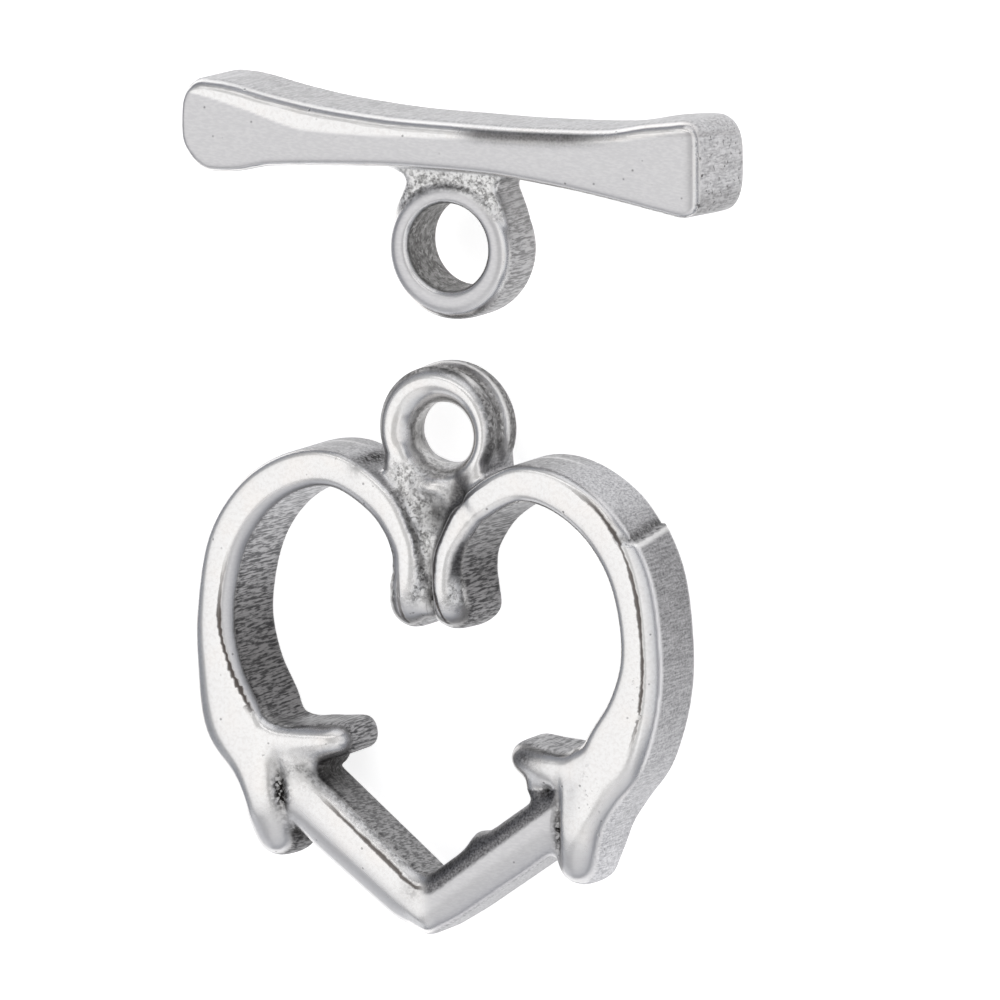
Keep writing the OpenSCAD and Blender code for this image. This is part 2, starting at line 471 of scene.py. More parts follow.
class Skin:
    """The fused surface of one casting while it is eased and sculpted, in millimetres."""

    def __init__(self, mesh: bpy.types.Mesh) -> None:
        """Reads a mesh.

        Args:
            mesh: the fused mesh, which keeps its faces.
        """
        self.mesh = mesh
        self.count = len(mesh.vertices)
        self.place = np.empty(self.count * 3)
        mesh.vertices.foreach_get("co", self.place)
        self.place = self.place.reshape(-1, 3)
        ends = np.empty(len(mesh.edges) * 2, np.int64)
        mesh.edges.foreach_get("vertices", ends)
        self.ends = ends.reshape(-1, 2)
        self.degree = np.bincount(self.ends.ravel(), minlength=self.count)

    def mean(self, values: np.ndarray) -> np.ndarray:
        """Average of each point's neighbours.

        Args:
            values: one number, or one row of numbers, for each point.

        Returns:
            The averages, in the same form.
        """
        one, other = self.ends.T
        if values.ndim == 1:
            total = (np.bincount(one, values[other], self.count)
                     + np.bincount(other, values[one], self.count))
            return total / self.degree
        return np.stack([self.mean(column) for column in values.T], axis=1)

    def spread(self, values: np.ndarray, rounds: int) -> np.ndarray:
        """Values blurred over the surface.

        Args:
            values: the values.
            rounds: rounds of averaging.

        Returns:
            The blurred values.
        """
        for _ in range(rounds):
            values = (values + self.mean(values)) / 2
        return values

    def ease(self, rounds: int, weight: np.ndarray | float = 1.0, swell: float = 0.0) -> None:
        """Smooths the surface.

        Args:
            rounds: rounds of smoothing.
            weight: how strongly each point follows, from 0 to 1.
            swell: share of a counter step after each round, which keeps the volume.
        """
        weight = np.broadcast_to(weight, self.count)
        spots = np.nonzero(weight > EASE_FLOOR)[0]
        number = np.full(self.count, -1)
        number[spots] = np.arange(len(spots))
        target = np.concatenate([self.ends[:, 0], self.ends[:, 1]])
        source = np.concatenate([self.ends[:, 1], self.ends[:, 0]])
        kept = number[target] >= 0
        target, source = number[target[kept]], source[kept]
        pull = weight[spots, None]

        def gap() -> np.ndarray:
            """From each followed point to its neighbours' average."""
            total = [np.bincount(target, self.place[source, axis], len(spots)) for axis in range(3)]
            return np.stack(total, axis=1) / self.degree[spots, None] - self.place[spots]

        for _ in range(rounds):
            self.place[spots] += gap() * pull * EASE_SHARE
            if swell:
                self.place[spots] -= gap() * pull * swell

    def settle(self, rounds: int) -> None:
        """Takes the voxels' steps off the skin, then rounds the creases between its limbs.

        Args:
            rounds: rounds of easing of the whole skin.
        """
        self.ease(rounds, swell=KEEP)
        crease = self.spread(smoothstep(0.006, 0.03, self.hollow(4)), 4)
        self.ease(CREASE_ROUNDS, np.clip(crease * 1.6, 0, 1))

    def normals(self) -> np.ndarray:
        """Works out the normals of the surface as it stands.

        Returns:
            One unit normal for each point.
        """
        self.write()
        made = np.empty(self.count * 3)
        self.mesh.vertex_normals.foreach_get("vector", made)
        return made.reshape(-1, 3)

    def write(self) -> None:
        """Puts the places back into the mesh."""
        self.mesh.vertices.foreach_set("co", self.place.ravel())
        self.mesh.update()

    def hollow(self, rounds: int) -> np.ndarray:
        """How far each point lies in a hollow, in millimetres; ridges are negative.

        Args:
            rounds: rounds of smoothing of the surface that it is compared with.

        Returns:
            The depths.
        """
        smooth = self.spread(self.place, rounds)
        return np.einsum("ij,ij->i", smooth - self.place, self.normals())

    def push(self, amount: np.ndarray) -> None:
        """Moves points along their normals.

        Args:
            amount: how far out each point goes, in millimetres.
        """
        self.place += self.normals() * amount[:, None]

    def near(self, centre: Point, reach: Point, turn: float = 0.0) -> np.ndarray:
        """Soft mask round a place.

        Args:
            centre: the place.
            reach: half sizes of the mask along its own x, y and z.
            turn: turn of the mask's x about the upright axis, in degrees.

        Returns:
            The mask, 1 at the centre.
        """
        away = self.place - np.array(centre)
        c, s = math.cos(math.radians(turn)), math.sin(math.radians(turn))
        x, y = c * away[:, 0] + s * away[:, 1], c * away[:, 1] - s * away[:, 0]
        squared = (x / reach[0]) ** 2 + (y / reach[1]) ** 2 + (away[:, 2] / reach[2]) ** 2
        return np.exp(-squared)

    def marked(self, mask: np.ndarray, spots: tuple[Dent, ...]) -> np.ndarray:
        """A mask with spots added to it.

        Args:
            mask: the mask.
            spots: the spots; the depth of each says how strong it is.

        Returns:
            The stronger of both at each point.
        """
        for spot in spots:
            mask = np.maximum(mask, self.near(spot.centre, spot.reach, spot.turn) * spot.depth)
        return mask

    def grain(self, scale: Point, seed: float, where: np.ndarray) -> np.ndarray:
        """Noise over the surface, from about -1 to 1.

        Args:
            scale: waves to a millimetre along x, y and z.
            seed: shift of the pattern.
            where: mask of the points that need it; the rest get 0.

        Returns:
            The noise.
        """
        made = np.zeros(self.count)
        spots = np.nonzero(where)[0]
        points = self.place[spots] * np.array(scale) + seed
        made[spots] = [noise.noise(Vector(point)) for point in points]
        return made

    def note(self, band: Band, values: np.ndarray) -> None:
        """Stores a field on the mesh.

        Args:
            band: what it says.
            values: one number for each point.
        """
        layer = self.mesh.attributes.new(band.value, "FLOAT", "POINT")
        layer.data.foreach_set("value", np.ascontiguousarray(values, dtype=np.float32))


@dataclass(frozen=True)
class Dent:
    """A small hollow, or a bump where its depth is negative, in millimetres."""

    centre: Point
    reach: Point
    depth: float
    turn: float = 0.0


@dataclass(frozen=True)
class Ease:
    """A place that is smoothed more than the rest, and the rounds that it gets."""

    centre: Point
    reach: Point
    rounds: int


# ------------------------------------------------------------------ finishes

class Graph:
    """A node tree with short calls for its nodes and links."""

    def __init__(self, tree: bpy.types.NodeTree) -> None:
        """Takes the tree.

        Args:
            tree: the node tree.
        """
        self.tree = tree

    def add(self, kind: str, inputs: dict | None = None, **settings: object) -> bpy.types.Node:
        """Adds a node.

        Args:
            kind: the node's type.
            inputs: input name or number to a value, or to a socket to link from.
            **settings: the node's own settings.

        Returns:
            The node.
        """
        node = self.tree.nodes.new(kind)
        for key, value in settings.items():
            setattr(node, key, value)
        for key, value in (inputs or {}).items():
            if isinstance(value, Socket):
                self.tree.links.new(value, node.inputs[key])
            else:
                node.inputs[key].default_value = value
        return node

    def math(self, operation: str, a: object, b: object = 0.0, clamp: bool = False) -> Socket:
        """A Math node's output for two inputs."""
        node = self.add("ShaderNodeMath", {0: a, 1: b}, operation=operation, use_clamp=clamp)
        return node.outputs[0]

    def plus(self, a: object, b: object) -> Socket:
        """The sum of two numbers."""
        return self.math("ADD", a, b)

    def minus(self, a: object, b: object) -> Socket:
        """The difference of two numbers."""
        return self.math("SUBTRACT", a, b)

    def times(self, a: object, b: object, clamp: bool = False) -> Socket:
        """The product of two numbers, held between 0 and 1 where it is clamped."""
        return self.math("MULTIPLY", a, b, clamp)

    def step(self, value: object, low: float, high: float) -> Socket:
        """A value taken softly from 0 at low to 1 at high."""
        return self.add("ShaderNodeMapRange", {"Value": value, "From Min": low, "From Max": high},
                        interpolation_type="SMOOTHSTEP").outputs["Result"]

    def mix(self, share: object, a: object, b: object) -> Socket:
        """Colours mixed by a share."""
        node = self.add("ShaderNodeMix", {"Factor": share, 6: a, 7: b}, data_type="RGBA")
        return node.outputs[2]

    def blend(self, share: object, a: object, b: object) -> Socket:
        """Numbers mixed by a share."""
        node = self.add("ShaderNodeMix", {"Factor": share, 2: a, 3: b}, data_type="FLOAT")
        return node.outputs[0]

    def noise(self, vector: object, scale: float, detail: float = 2.0,
              roughness: float = 0.5) -> Socket:
        """A noise texture's value."""
        return self.add("ShaderNodeTexNoise", {"Vector": vector, "Scale": scale, "Detail": detail,
                                               "Roughness": roughness}).outputs[0]

    def band(self, band: Band) -> Socket:
        """A field that is stored on the skin."""
        return self.add("ShaderNodeAttribute", attribute_name=band.value).outputs["Fac"]

    def stretched(self, vector: object, scale: Point, turn: Point = (0, 0, 0)) -> Socket:
        """Coordinates turned and stretched."""
        inputs = {"Vector": vector, "Scale": scale, "Rotation": turn}
        return self.add("ShaderNodeMapping", inputs).outputs[0]


def group(name: str, inputs: list[tuple[str, str, float]],
          outputs: list[str]) -> tuple[bpy.types.NodeTree, Graph]:
    """Starts a shader node group.

    Args:
        name: the group's name.
        inputs: name, kind of socket and starting value of each input.
        outputs: names of the number outputs.

    Returns:
        The group's tree, and its graph.
    """
    tree = bpy.data.node_groups.new(name, "ShaderNodeTree")
    for label, kind, value in inputs:
        socket = tree.interface.new_socket(label, in_out="INPUT", socket_type=f"NodeSocket{kind}")
        if kind == "Float":
            socket.default_value = value
    for label in outputs:
        tree.interface.new_socket(label, in_out="OUTPUT", socket_type="NodeSocketFloat")
    return tree, Graph(tree)


def drag_streaks() -> bpy.types.NodeTree:
    """Makes the fine streaks that run across a cast wall from front to back.

    Returns:
        The group, with the streaks as light, the same without a direction, and as height.
    """
    tree, g = group("Drag streaks", [("Vector", "Vector", 0)], ["Light", "Even", "Height"])
    way_in, way_out = g.add("NodeGroupInput"), g.add("NodeGroupOutput")
    at = way_in.outputs["Vector"]
    fine = g.noise(g.stretched(at, (1, 1, 0.08), (0.12, -0.08, 0)), 13500.0, 3.0, 0.6)
    short = g.noise(g.stretched(at, (1, 1, 0.25), (0.2, 0.1, 0)), 11000.0, 2.0)
    broad = g.noise(at, 1500.0, 2.0)
    speckle = g.noise(g.stretched(at, (1, 1, 0.6)), 12500.0, 3.0, 0.6)
    both = g.plus(g.times(fine, 0.6), g.times(short, 0.3))
    both = g.plus(both, g.times(broad, 0.1))
    tree.links.new(g.step(both, 0.42, 0.58), way_out.inputs["Light"])
    tree.links.new(g.step(speckle, 0.2, 0.72), way_out.inputs["Even"])
    tree.links.new(both, way_out.inputs["Height"])
    return tree


def cast_grain() -> bpy.types.NodeTree:
    """Makes the crystalline grain of unpolished casting.

    Returns:
        The group, with the grain as light and as height.
    """
    tree, g = group("Cast grain", [("Vector", "Vector", 0), ("Size", "Float", 8500.0)],
                    ["Light", "Height"])
    way_in, way_out = g.add("NodeGroupInput"), g.add("NodeGroupOutput")
    cells = g.add("ShaderNodeTexVoronoi", {"Vector": way_in.outputs["Vector"],
                                           "Scale": way_in.outputs["Size"], "Randomness": 1.0})
    facet = g.add("ShaderNodeSeparateColor", {0: cells.outputs["Color"]}).outputs[0]
    fine = g.noise(way_in.outputs["Vector"], 11000.0, 3.0, 0.65)
    broad = g.noise(way_in.outputs["Vector"], 3000.0, 2.0)
    light = g.plus(g.times(facet, 0.25), g.times(fine, 0.75))
    light = g.plus(light, g.times(g.minus(broad, 0.5), 0.6))
    tree.links.new(g.step(light, 0.28, 0.66), way_out.inputs["Light"])
    tree.links.new(g.plus(g.times(facet, 0.4), g.times(fine, 0.6)),
                   way_out.inputs["Height"])
    return tree


def fine_specks() -> bpy.types.NodeTree:
    """Makes the pinprick pits in polished steel.

    Returns:
        The group, with the pits as a mask.
    """
    tree, g = group("Fine specks", [("Vector", "Vector", 0), ("Share", "Float", 0.5)], ["Mask"])
    way_in, way_out = g.add("NodeGroupInput"), g.add("NodeGroupOutput")
    cells = g.add("ShaderNodeTexVoronoi", {"Vector": way_in.outputs["Vector"], "Scale": 2600.0})
    number = g.add("ShaderNodeSeparateColor", {0: cells.outputs["Color"]}).outputs[0]
    picked = g.step(number, 0.80, 0.92)
    dots = g.step(cells.outputs["Distance"], 0.16, 0.05)
    mask = g.times(g.times(picked, dots), way_in.outputs["Share"])
    tree.links.new(mask, way_out.inputs["Mask"])
    return tree


@dataclass(frozen=True)
class CastSteel:
    """Polished, darkened stainless casting: bright fronts, streaked walls and sooty recesses."""

    name: str
    polished: Colour = (0.83, 0.82, 0.812, 1)
    mottled: Colour = (0.785, 0.77, 0.76, 1)
    warm: Colour = (0.90, 0.78, 0.68, 1)
    satin: Colour = (0.60, 0.592, 0.60, 1)
    wall_light: Colour = (0.66, 0.655, 0.67, 1)
    wall_grey: Colour = (0.27, 0.27, 0.285, 1)
    wall_dim: Colour = (0.12, 0.115, 0.115, 1)
    wall_dark: Colour = (0.022, 0.021, 0.022, 1)
    crust_light: Colour = (0.88, 0.87, 0.86, 1)
    crust_dark: Colour = (0.25, 0.245, 0.24, 1)
    soot: Colour = (0.018, 0.016, 0.015, 1)
    # Colour of the painted dark reflection line beside the fronts' edges
    painted_reflection_line: Colour = (0.10, 0.084, 0.076, 1)
    polished_rough: float = 0.22
    satin_rough: float = 0.34
    wall_rough: float = 0.40
    crust_rough: float = 0.34
    soot_rough: float = 0.6
    # Height of the bump's relief, in metres
    relief: float = 0.00006

    def build(self, groups: dict[str, bpy.types.NodeTree]) -> bpy.types.Material:
        """Makes the material.

        Args:
            groups: the shared node groups by name.

        Returns:
            The material.
        """
        material = bpy.data.materials.new(self.name)
        material.use_nodes = True
        tree = material.node_tree
        tree.nodes.clear()
        g = Graph(tree)
        at = g.add("ShaderNodeTexCoord").outputs["Object"]
        satin, wall, calm = g.band(Band.SATIN), g.band(Band.WALL), g.band(Band.CALM)
        soot, crust, wear_and_highlight = g.band(Band.SOOT), g.band(Band.CRUST), g.band(Band.WEAR_AND_HIGHLIGHT)
        reflection_line, tone = g.band(Band.REFLECTION_LINE), g.band(Band.TONE)

        streaks = g.add("ShaderNodeGroup", node_tree=groups["streaks"])
        grain = g.add("ShaderNodeGroup", node_tree=groups["grain"])
        specks = g.add("ShaderNodeGroup", node_tree=groups["specks"])
        for node in (streaks, grain, specks):
            tree.links.new(at, node.inputs["Vector"])

        cloud = g.noise(at, 700.0, 3.0)
        mottle = g.noise(at, 6500.0, 4.0, 0.65)
        brushed = g.noise(g.stretched(at, (0.35, 1.0, 1.0), (0, 0, 0.5)), 14000.0, 2.0)
        base = g.mix(g.step(mottle, 0.44, 0.62), self.polished, self.mottled)
        base = g.mix(g.times(g.step(cloud, 0.45, 0.7), 0.12), base, self.warm)
        base = g.mix(satin, base, self.satin)
        glossed = g.times(g.step(brushed, 0.35, 0.7), g.times(satin, 0.25))
        base = g.mix(glossed, base, self.polished)
        base = g.mix(specks.outputs["Mask"], base, self.wall_dark)

        wall_look = g.mix(g.blend(calm, streaks.outputs["Light"], streaks.outputs["Even"]),
                          g.mix(g.times(tone, tone), self.wall_dark, self.wall_grey),
                          g.mix(tone, self.wall_dim, self.wall_light))
        base = g.mix(wall, base, wall_look)
        # Worn ridges and painted highlights take the polished colour
        base = g.mix(g.times(wear_and_highlight, 0.6), base, self.polished)
        crust_look = g.mix(grain.outputs["Light"], self.crust_dark, self.crust_light)
        base = g.mix(crust, base, crust_look)

        # Painted dark reflection: a thin dark line that runs beside an edge of the front, wavering
        # and varying in width
        off = g.plus(g.band(Band.EDGE), g.times(g.minus(mottle, 0.5), 0.04))
        swing = g.times(g.minus(g.noise(at, 1100.0, 2.0), 0.5), 0.16)
        painted_reflection_line = g.times(g.step(g.plus(g.math("ABSOLUTE", off), swing), 0.10, 0.03), reflection_line)
        base = g.mix(painted_reflection_line, base, self.painted_reflection_line)
        pit = g.times(g.step(g.noise(at, 4600.0, 3.0, 0.6), 0.60, 0.68), g.band(Band.PITS))
        base = g.mix(pit, base, self.wall_dim)
        ragged = g.times(soot, g.plus(0.5, g.step(grain.outputs["Height"], 0.25, 0.7)), clamp=True)
        base = g.mix(ragged, base, self.soot)

        rough = self.polished_rough
        for share, value in ((satin, self.satin_rough), (wall, self.wall_rough),
                             (crust, self.crust_rough), (ragged, self.soot_rough)):
            rough = g.blend(share, rough, value)

        height = g.plus(g.times(streaks.outputs["Height"], wall),
                        g.times(g.times(grain.outputs["Height"], crust), 1.3))
        height = g.plus(height, g.times(g.times(brushed, satin), 0.05))
        height = g.minus(height, g.times(g.plus(specks.outputs["Mask"], pit), 0.4))
        height = g.minus(height, g.times(painted_reflection_line, 0.6))
        bump = g.add("ShaderNodeBump", {"Strength": 0.5, "Distance": self.relief, "Height": height})
        shader = g.add("ShaderNodeBsdfPrincipled", {"Base Color": base, "Metallic": 1.0,
                                                    "Roughness": rough, "Normal": bump.outputs[0]})
        output = g.add("ShaderNodeOutputMaterial")
        tree.links.new(shader.outputs[0], output.inputs[0])
        return material


# ------------------------------------------------------------------ castings

@dataclass
class HeartRing:
    """The heart: two curled arms with forks, the V-shaped link, the stem and the link eye."""

    voxel: float = 0.1
    # Filled by shell(), in the order in which the limbs are swept
    limbs: dict[str, Limb] = field(default_factory=dict)
    # The eye: height of its middle, how far its bore lies down and left of that, how far the bore
    # opens to the right at the front, and how much its back leans down and left for each millimetre
    heart_eye_rise: float = 0.85
    bore_low: float = 0.26
    bore_left: float = 0.09
    bore_open: float = 0.30
    eye_lean: float = 0.13
    eye_turn: float = 0.06
    # Radius of the eye and width of its metal, where the opening starts and ends, and the height
    # below which the back leans
    eye_radius: float = 2.4
    eye_metal: float = 1.25
    open_from: float = 0.9
    open_to: float = 2.0
    lean_below: float = 1.4
    # The step that the parting left on the right arm's outer wall: its height and slope, then the
    # height and reach of the lip below it and of the drop above it
    notch_y: float = -2.6
    notch_slope: float = 0.09
    notch_lip: tuple[float, float] = (0.06, 0.8)
    notch_drop: tuple[float, float] = (0.07, 0.9)
    # The rough skin: its height, waves to a millimetre, and seed
    rough_high: float = 0.05
    rough_waves: Point = (2.6, 2.6, 2.0)
    rough_seed: float = 3.0
    settle_rounds: int = 7
    web_sides: int = 40
    # The link: middle of its upper end as shares, width that its mitre is worked out from, and its
    # front's height
    link_top: tuple[float, float] = (0.705, -0.688)
    link_width: float = 1.72
    link_high: float = HEART_D - 0.15
    # Its bevels at the right, at the tip and at the left, as in a limb's columns, and its back
    # rounding, draft and crown
    link_right_edge: tuple[float, ...] = (0.90, 0.42, 0.46, 0.50)
    link_tip_edge: tuple[float, ...] = (0.7, 0.42, 0.5, 0.45)
    link_left_edge: tuple[float, ...] = (0.95, 0.34, 0.42, 0.44)
    link_end: Point = (0.3, -0.35, 0.03)
    # Where the straight limbs end on the way to the tip, and their rows
    link_straight: float = 0.88
    link_rows: int = 9
    # The stem: front at the eye and between the noses, and the width that its table's shares take
    stem_highs: tuple[float, float] = (2.8, HEART_D - 0.5)
    stem_width: float = 4.8

    # x and y as shares of the spread and the length, then width, back and front as shares
    arm_rows: Table = (
        (0.096, 0.320, 0.94, 0.00, 0.975), (0.091, 0.285, 0.88, 0.00, 0.99),
        (0.090, 0.240, 0.73, 0.00, 1.00), (0.112, 0.185, 0.68, 0.00, 1.00),
        (0.218, 0.105, 0.78, 0.00, 1.00), (0.416, 0.045, 0.86, 0.00, 1.00),
        (0.615, 0.054, 0.92, 0.00, 1.00), (0.812, 0.118, 0.96, 0.00, 1.00),
        (0.948, 0.222, 0.98, 0.00, 1.00), (1.000, 0.365, 0.96, 0.00, 1.00),
        (0.975, 0.480, 1.16, 0.00, 1.00), (0.896, 0.588, 1.46, 0.00, 1.00),
        (0.810, 0.668, 1.22, 0.00, 1.00), (0.764, 0.728, 0.92, 0.05, 1.00),
        (0.740, 0.785, 0.80, 0.14, 0.97), (0.724, 0.828, 0.70, 0.20, 0.92),
    )
    # Width and drop of the outer bevel, then of the inner one, for each row of an arm
    left_edges: Table = (
        (0.72, 0.60, 0.72, 0.60), (0.62, 0.46, 0.64, 0.50), (0.32, 0.25, 0.42, 0.32),
        (0.18, 0.20, 0.36, 0.26), (0.15, 0.20, 0.34, 0.24), (0.15, 0.20, 0.30, 0.24),
        (0.18, 0.20, 0.36, 0.28), (0.22, 0.22, 0.44, 0.34), (0.28, 0.22, 0.48, 0.38),
        (0.40, 0.22, 0.46, 0.40), (0.55, 0.25, 0.36, 0.38), (0.66, 0.30, 0.30, 0.34),
        (0.62, 0.34, 0.35, 0.36), (0.48, 0.32, 0.30, 0.30), (0.42, 0.36, 0.28, 0.32),
        (0.40, 0.42, 0.32, 0.40),
    )
    right_edges: Table = (
        (0.60, 0.60, 0.85, 0.60), (0.45, 0.42, 0.80, 0.58), (0.24, 0.25, 0.55, 0.50),
        (0.18, 0.20, 0.46, 0.44), (0.16, 0.20, 0.38, 0.34), (0.16, 0.20, 0.30, 0.24),
        (0.24, 0.24, 0.22, 0.20), (0.34, 0.30, 0.20, 0.20), (0.54, 0.50, 0.20, 0.20),
        (0.58, 0.54, 0.20, 0.20), (0.60, 0.52, 0.22, 0.20), (0.60, 0.48, 0.24, 0.20),
        (0.60, 0.44, 0.30, 0.30), (0.55, 0.42, 0.28, 0.30), (0.50, 0.42, 0.28, 0.32),
        (0.45, 0.45, 0.34, 0.40),
    )
    # How far nose, belly, foot and tail of each arm lie outwards, and how much wider they are
    left_out: tuple[float, ...] = (0.14, 0.06, 0.13, 0.10)
    left_wider: tuple[float, ...] = (0.18, 0.08, 0.26, 0.50)
    right_out: tuple[float, ...] = (-0.08, -0.08, -0.17, -0.24)
    right_wider: tuple[float, ...] = (0.0, 0.16, 0.0, 0.54)
    # How much lower the left arm's crest and higher the right arm's tail are, as shares
    left_crest_low: float = 0.006
    right_tail_high: float = 0.008
    # Back rounding and draft of an arm
    arm_back: float = 0.28
    arm_draft: float = 0.15
    # A prong from its root to its tip, each row with the edges' columns of an arm
    prong_rows: Table = (
        (0.980, 0.490, 0.80, 0.01, 0.97, 0.30, 0.30, 0.30, 0.30),
        (0.910, 0.555, 0.96, 0.01, 0.98, 0.35, 0.25, 0.28, 0.28),
        (0.795, 0.612, 0.92, 0.01, 0.99, 0.60, 0.30, 0.38, 0.32),
        (0.674, 0.628, 0.90, 0.01, 0.99, 0.75, 0.36, 0.42, 0.34),
        (0.552, 0.624, 0.90, 0.01, 0.97, 0.70, 0.50, 0.44, 0.40),
        (0.432, 0.612, 0.78, 0.03, 0.94, 0.55, 0.60, 0.46, 0.55),
    )
    # y and width as shares, and how far the front has come from the eye's height to the noses'
    stem_rows: Table = (
        (-0.010, 0.82, -0.20), (0.020, 0.86, -0.10), (0.060, 0.86, 0.05), (0.100, 0.72, 0.20),
        (0.150, 0.44, 0.50), (0.210, 0.30, 0.85), (0.280, 0.26, 1.00), (0.335, 0.24, 1.00),
    )

    # Radius and height round the eye's profile, up its bore, and up a web's cylinder, where the
    # radius is a share of the web's own
    eye_profile: Table = (
        (2.06, 0.22), (2.30, 0.36), (2.38, 0.60), (2.38, 0.95), (2.35, 1.25), (2.14, 1.50),
        (2.13, 1.75), (2.27, 2.05), (2.30, 2.42), (2.16, 2.69), (1.94, 2.81), (1.66, 2.76),
        (1.44, 2.58), (1.26, 2.30), (1.19, 1.95), (1.18, 1.4), (1.19, 0.8), (1.34, 0.5),
        (1.62, 0.24),
    )
    bore_levels: Table = (
        (1.75, -0.2), (1.75, 0.3), (1.34, 0.62), (1.19, 0.8), (1.19, 1.4), (1.19, 1.95),
        (1.3, 2.4), (1.55, 2.75), (1.8, 4.2),
    )
    web_levels: Table = ((0.8, 0.1), (1.0, 0.3), (1.0, 2.5), (0.8, 2.9), (0.4, 3.05))
    # x and radius of the webs that fill the forks' corners, and their y
    webs: Table = ((-5.05, 0.62), (4.72, 0.9))
    web_y: float = -11.78

    # Tip of the link, noses, forks, tails, shoulder and the corners beside the prongs
    eases: tuple[Ease, ...] = (
        Ease((0.0, -17.8, 1.7), (1.0, 0.7, 3.0), 40),
        Ease((-0.85, -6.2, 3.3), (0.9, 0.7, 1.0), 160),
        Ease((1.1, -6.3, 3.3), (0.9, 0.7, 1.0), 160),
        Ease((-5.5, -12.3, 3.1), (0.8, 1.0, 0.9), 140),
        Ease((5.3, -12.1, 3.1), (0.8, 1.0, 0.9), 140),
        Ease((-6.2, -14.9, 3.2), (0.9, 1.0, 1.0), 160),
        Ease((6.6, -14.8, 3.2), (1.1, 1.3, 1.0), 170),
        Ease((7.4, -12.2, 3.2), (0.7, 1.3, 0.8), 90),
        Ease((-3.3, -10.9, 3.3), (0.7, 0.6, 0.8), 60),
        Ease((6.0, -10.4, 3.1), (0.6, 0.5, 0.8), 60),
        Ease((3.5, -10.9, 3.3), (0.8, 0.7, 0.9), 80),
    )
    # Corners by the prongs, the stem's dish, lip and gutters, the sprue bump, and the forks' pits
    dents: tuple[Dent, ...] = (
        Dent((6.05, -10.35, 2.8), (0.45, 0.4, 0.9), -0.26),
        Dent((-6.1, -10.3, 1.2), (0.6, 0.4, 1.6), 0.12, -25),
        Dent((0.0, -2.26, 2.9), (0.55, 0.7, 0.7), 0.20),
        Dent((0.05, -1.25, 2.8), (0.6, 0.28, 0.6), -0.22),
        Dent((1.25, -1.45, 2.9), (0.28, 1.3, 0.7), 0.16, 40),
        Dent((0.1, -5.1, 3.0), (0.14, 0.9, 0.7), 0.30),
        Dent((2.1, -14.3, 2.3), (0.5, 0.5, 0.55), -0.36),
        Dent((-0.51, -0.62, 0.5), (0.5, 0.18, 0.3), -0.12),
        Dent((-5.55, -14.3, 2.5), (0.25, 0.45, 0.6), 0.16, 10),
        Dent((-5.88, -12.9, 3.2), (0.2, 0.8, 0.5), 0.28, 6),
        Dent((5.42, -13.3, 3.2), (0.12, 1.2, 0.5), 0.22, -1),
        Dent((4.9, -12.0, 3.1), (0.35, 0.25, 0.5), 0.22),
        Dent((4.8, -10.35, 3.35), (0.8, 0.22, 0.4), 0.10, 5),
    )
    # Places where the casting's skin stayed rough, where the darkening stayed, and that are pitted
    rough_spots: tuple[Dent, ...] = (
        Dent((-6.0, -10.35, 3.2), (0.6, 0.25, 0.35), 0.9, -25),
        Dent((-5.6, -12.2, 3.2), (0.45, 0.3, 0.4), 0.9),
        Dent((1.69, -2.16, 2.6), (0.4, 0.6, 0.5), 0.8, -30),
        Dent((4.9, -10.35, 3.2), (0.9, 0.2, 0.3), 0.8, 5),
    )
    soot_spots: tuple[Dent, ...] = (
        Dent((-4.4, -12.1, 1.3), (1.0, 0.8, 1.6), 1.0),
        Dent((2.5, -0.35, 1.7), (0.35, 0.3, 1.3), 0.9, 25),
        Dent((-2.8, -0.6, 2.0), (0.3, 0.35, 1.3), 0.9),
        Dent((0.1, -5.2, 2.9), (0.12, 0.9, 0.8), 0.9),
        Dent((-1.1, 0.35, 1.4), (0.3, 0.8, 0.8), 0.55),
        Dent((-0.4, -16.1, 2.2), (0.4, 0.4, 1.0), 0.8),
        Dent((-5.5, -14.35, 2.2), (0.30, 0.5, 0.8), 0.95, 10),
        Dent((-5.84, -12.95, 2.9), (0.34, 0.9, 1.0), 1.0, 6),
        Dent((5.42, -13.3, 3.1), (0.14, 1.3, 0.8), 0.85, -1),
        Dent((4.9, -12.0, 3.0), (0.35, 0.22, 0.5), 0.8),
        Dent((3.84, -10.8, 3.2), (0.4, 0.25, 0.4), 0.55),
        Dent((0.35, -2.2, 2.6), (0.6, 0.6, 0.8), 0.6),
        Dent((-3.45, -10.85, 3.3), (0.16, 0.12, 0.3), 0.6),
    )
    pit_spots: tuple[Dent, ...] = (
        Dent((7.1, -12.7, 3.0), (0.25, 1.5, 0.8), 1.0, 13),
        Dent((7.3, -13.6, 2.0), (0.5, 1.2, 1.2), 1.0),
        Dent((0.0, -5.9, 3.1), (0.5, 0.3, 0.6), 0.9),
        Dent((-0.5, -6.1, 2.9), (0.5, 0.35, 0.9), 0.8),
        Dent((1.2, -6.0, 2.6), (0.6, 0.4, 0.9), 0.6),
        Dent((8.6, -7.6, 3.0), (0.3, 1.0, 0.5), 0.6),
    )

    def arm(self, side: Side) -> Limb:
        """One arm with its nose and tail, which differ a little from the other arm's.

        Args:
            side: which arm.

        Returns:
            The limb.
        """
        right = side is Side.RIGHT
        edges = self.right_edges if right else self.left_edges
        out, wider = ((self.right_out, self.right_wider) if right
                      else (self.left_out, self.left_wider))
        rows = []
        for (x, y, w, low, high), edge in zip(self.arm_rows, edges):
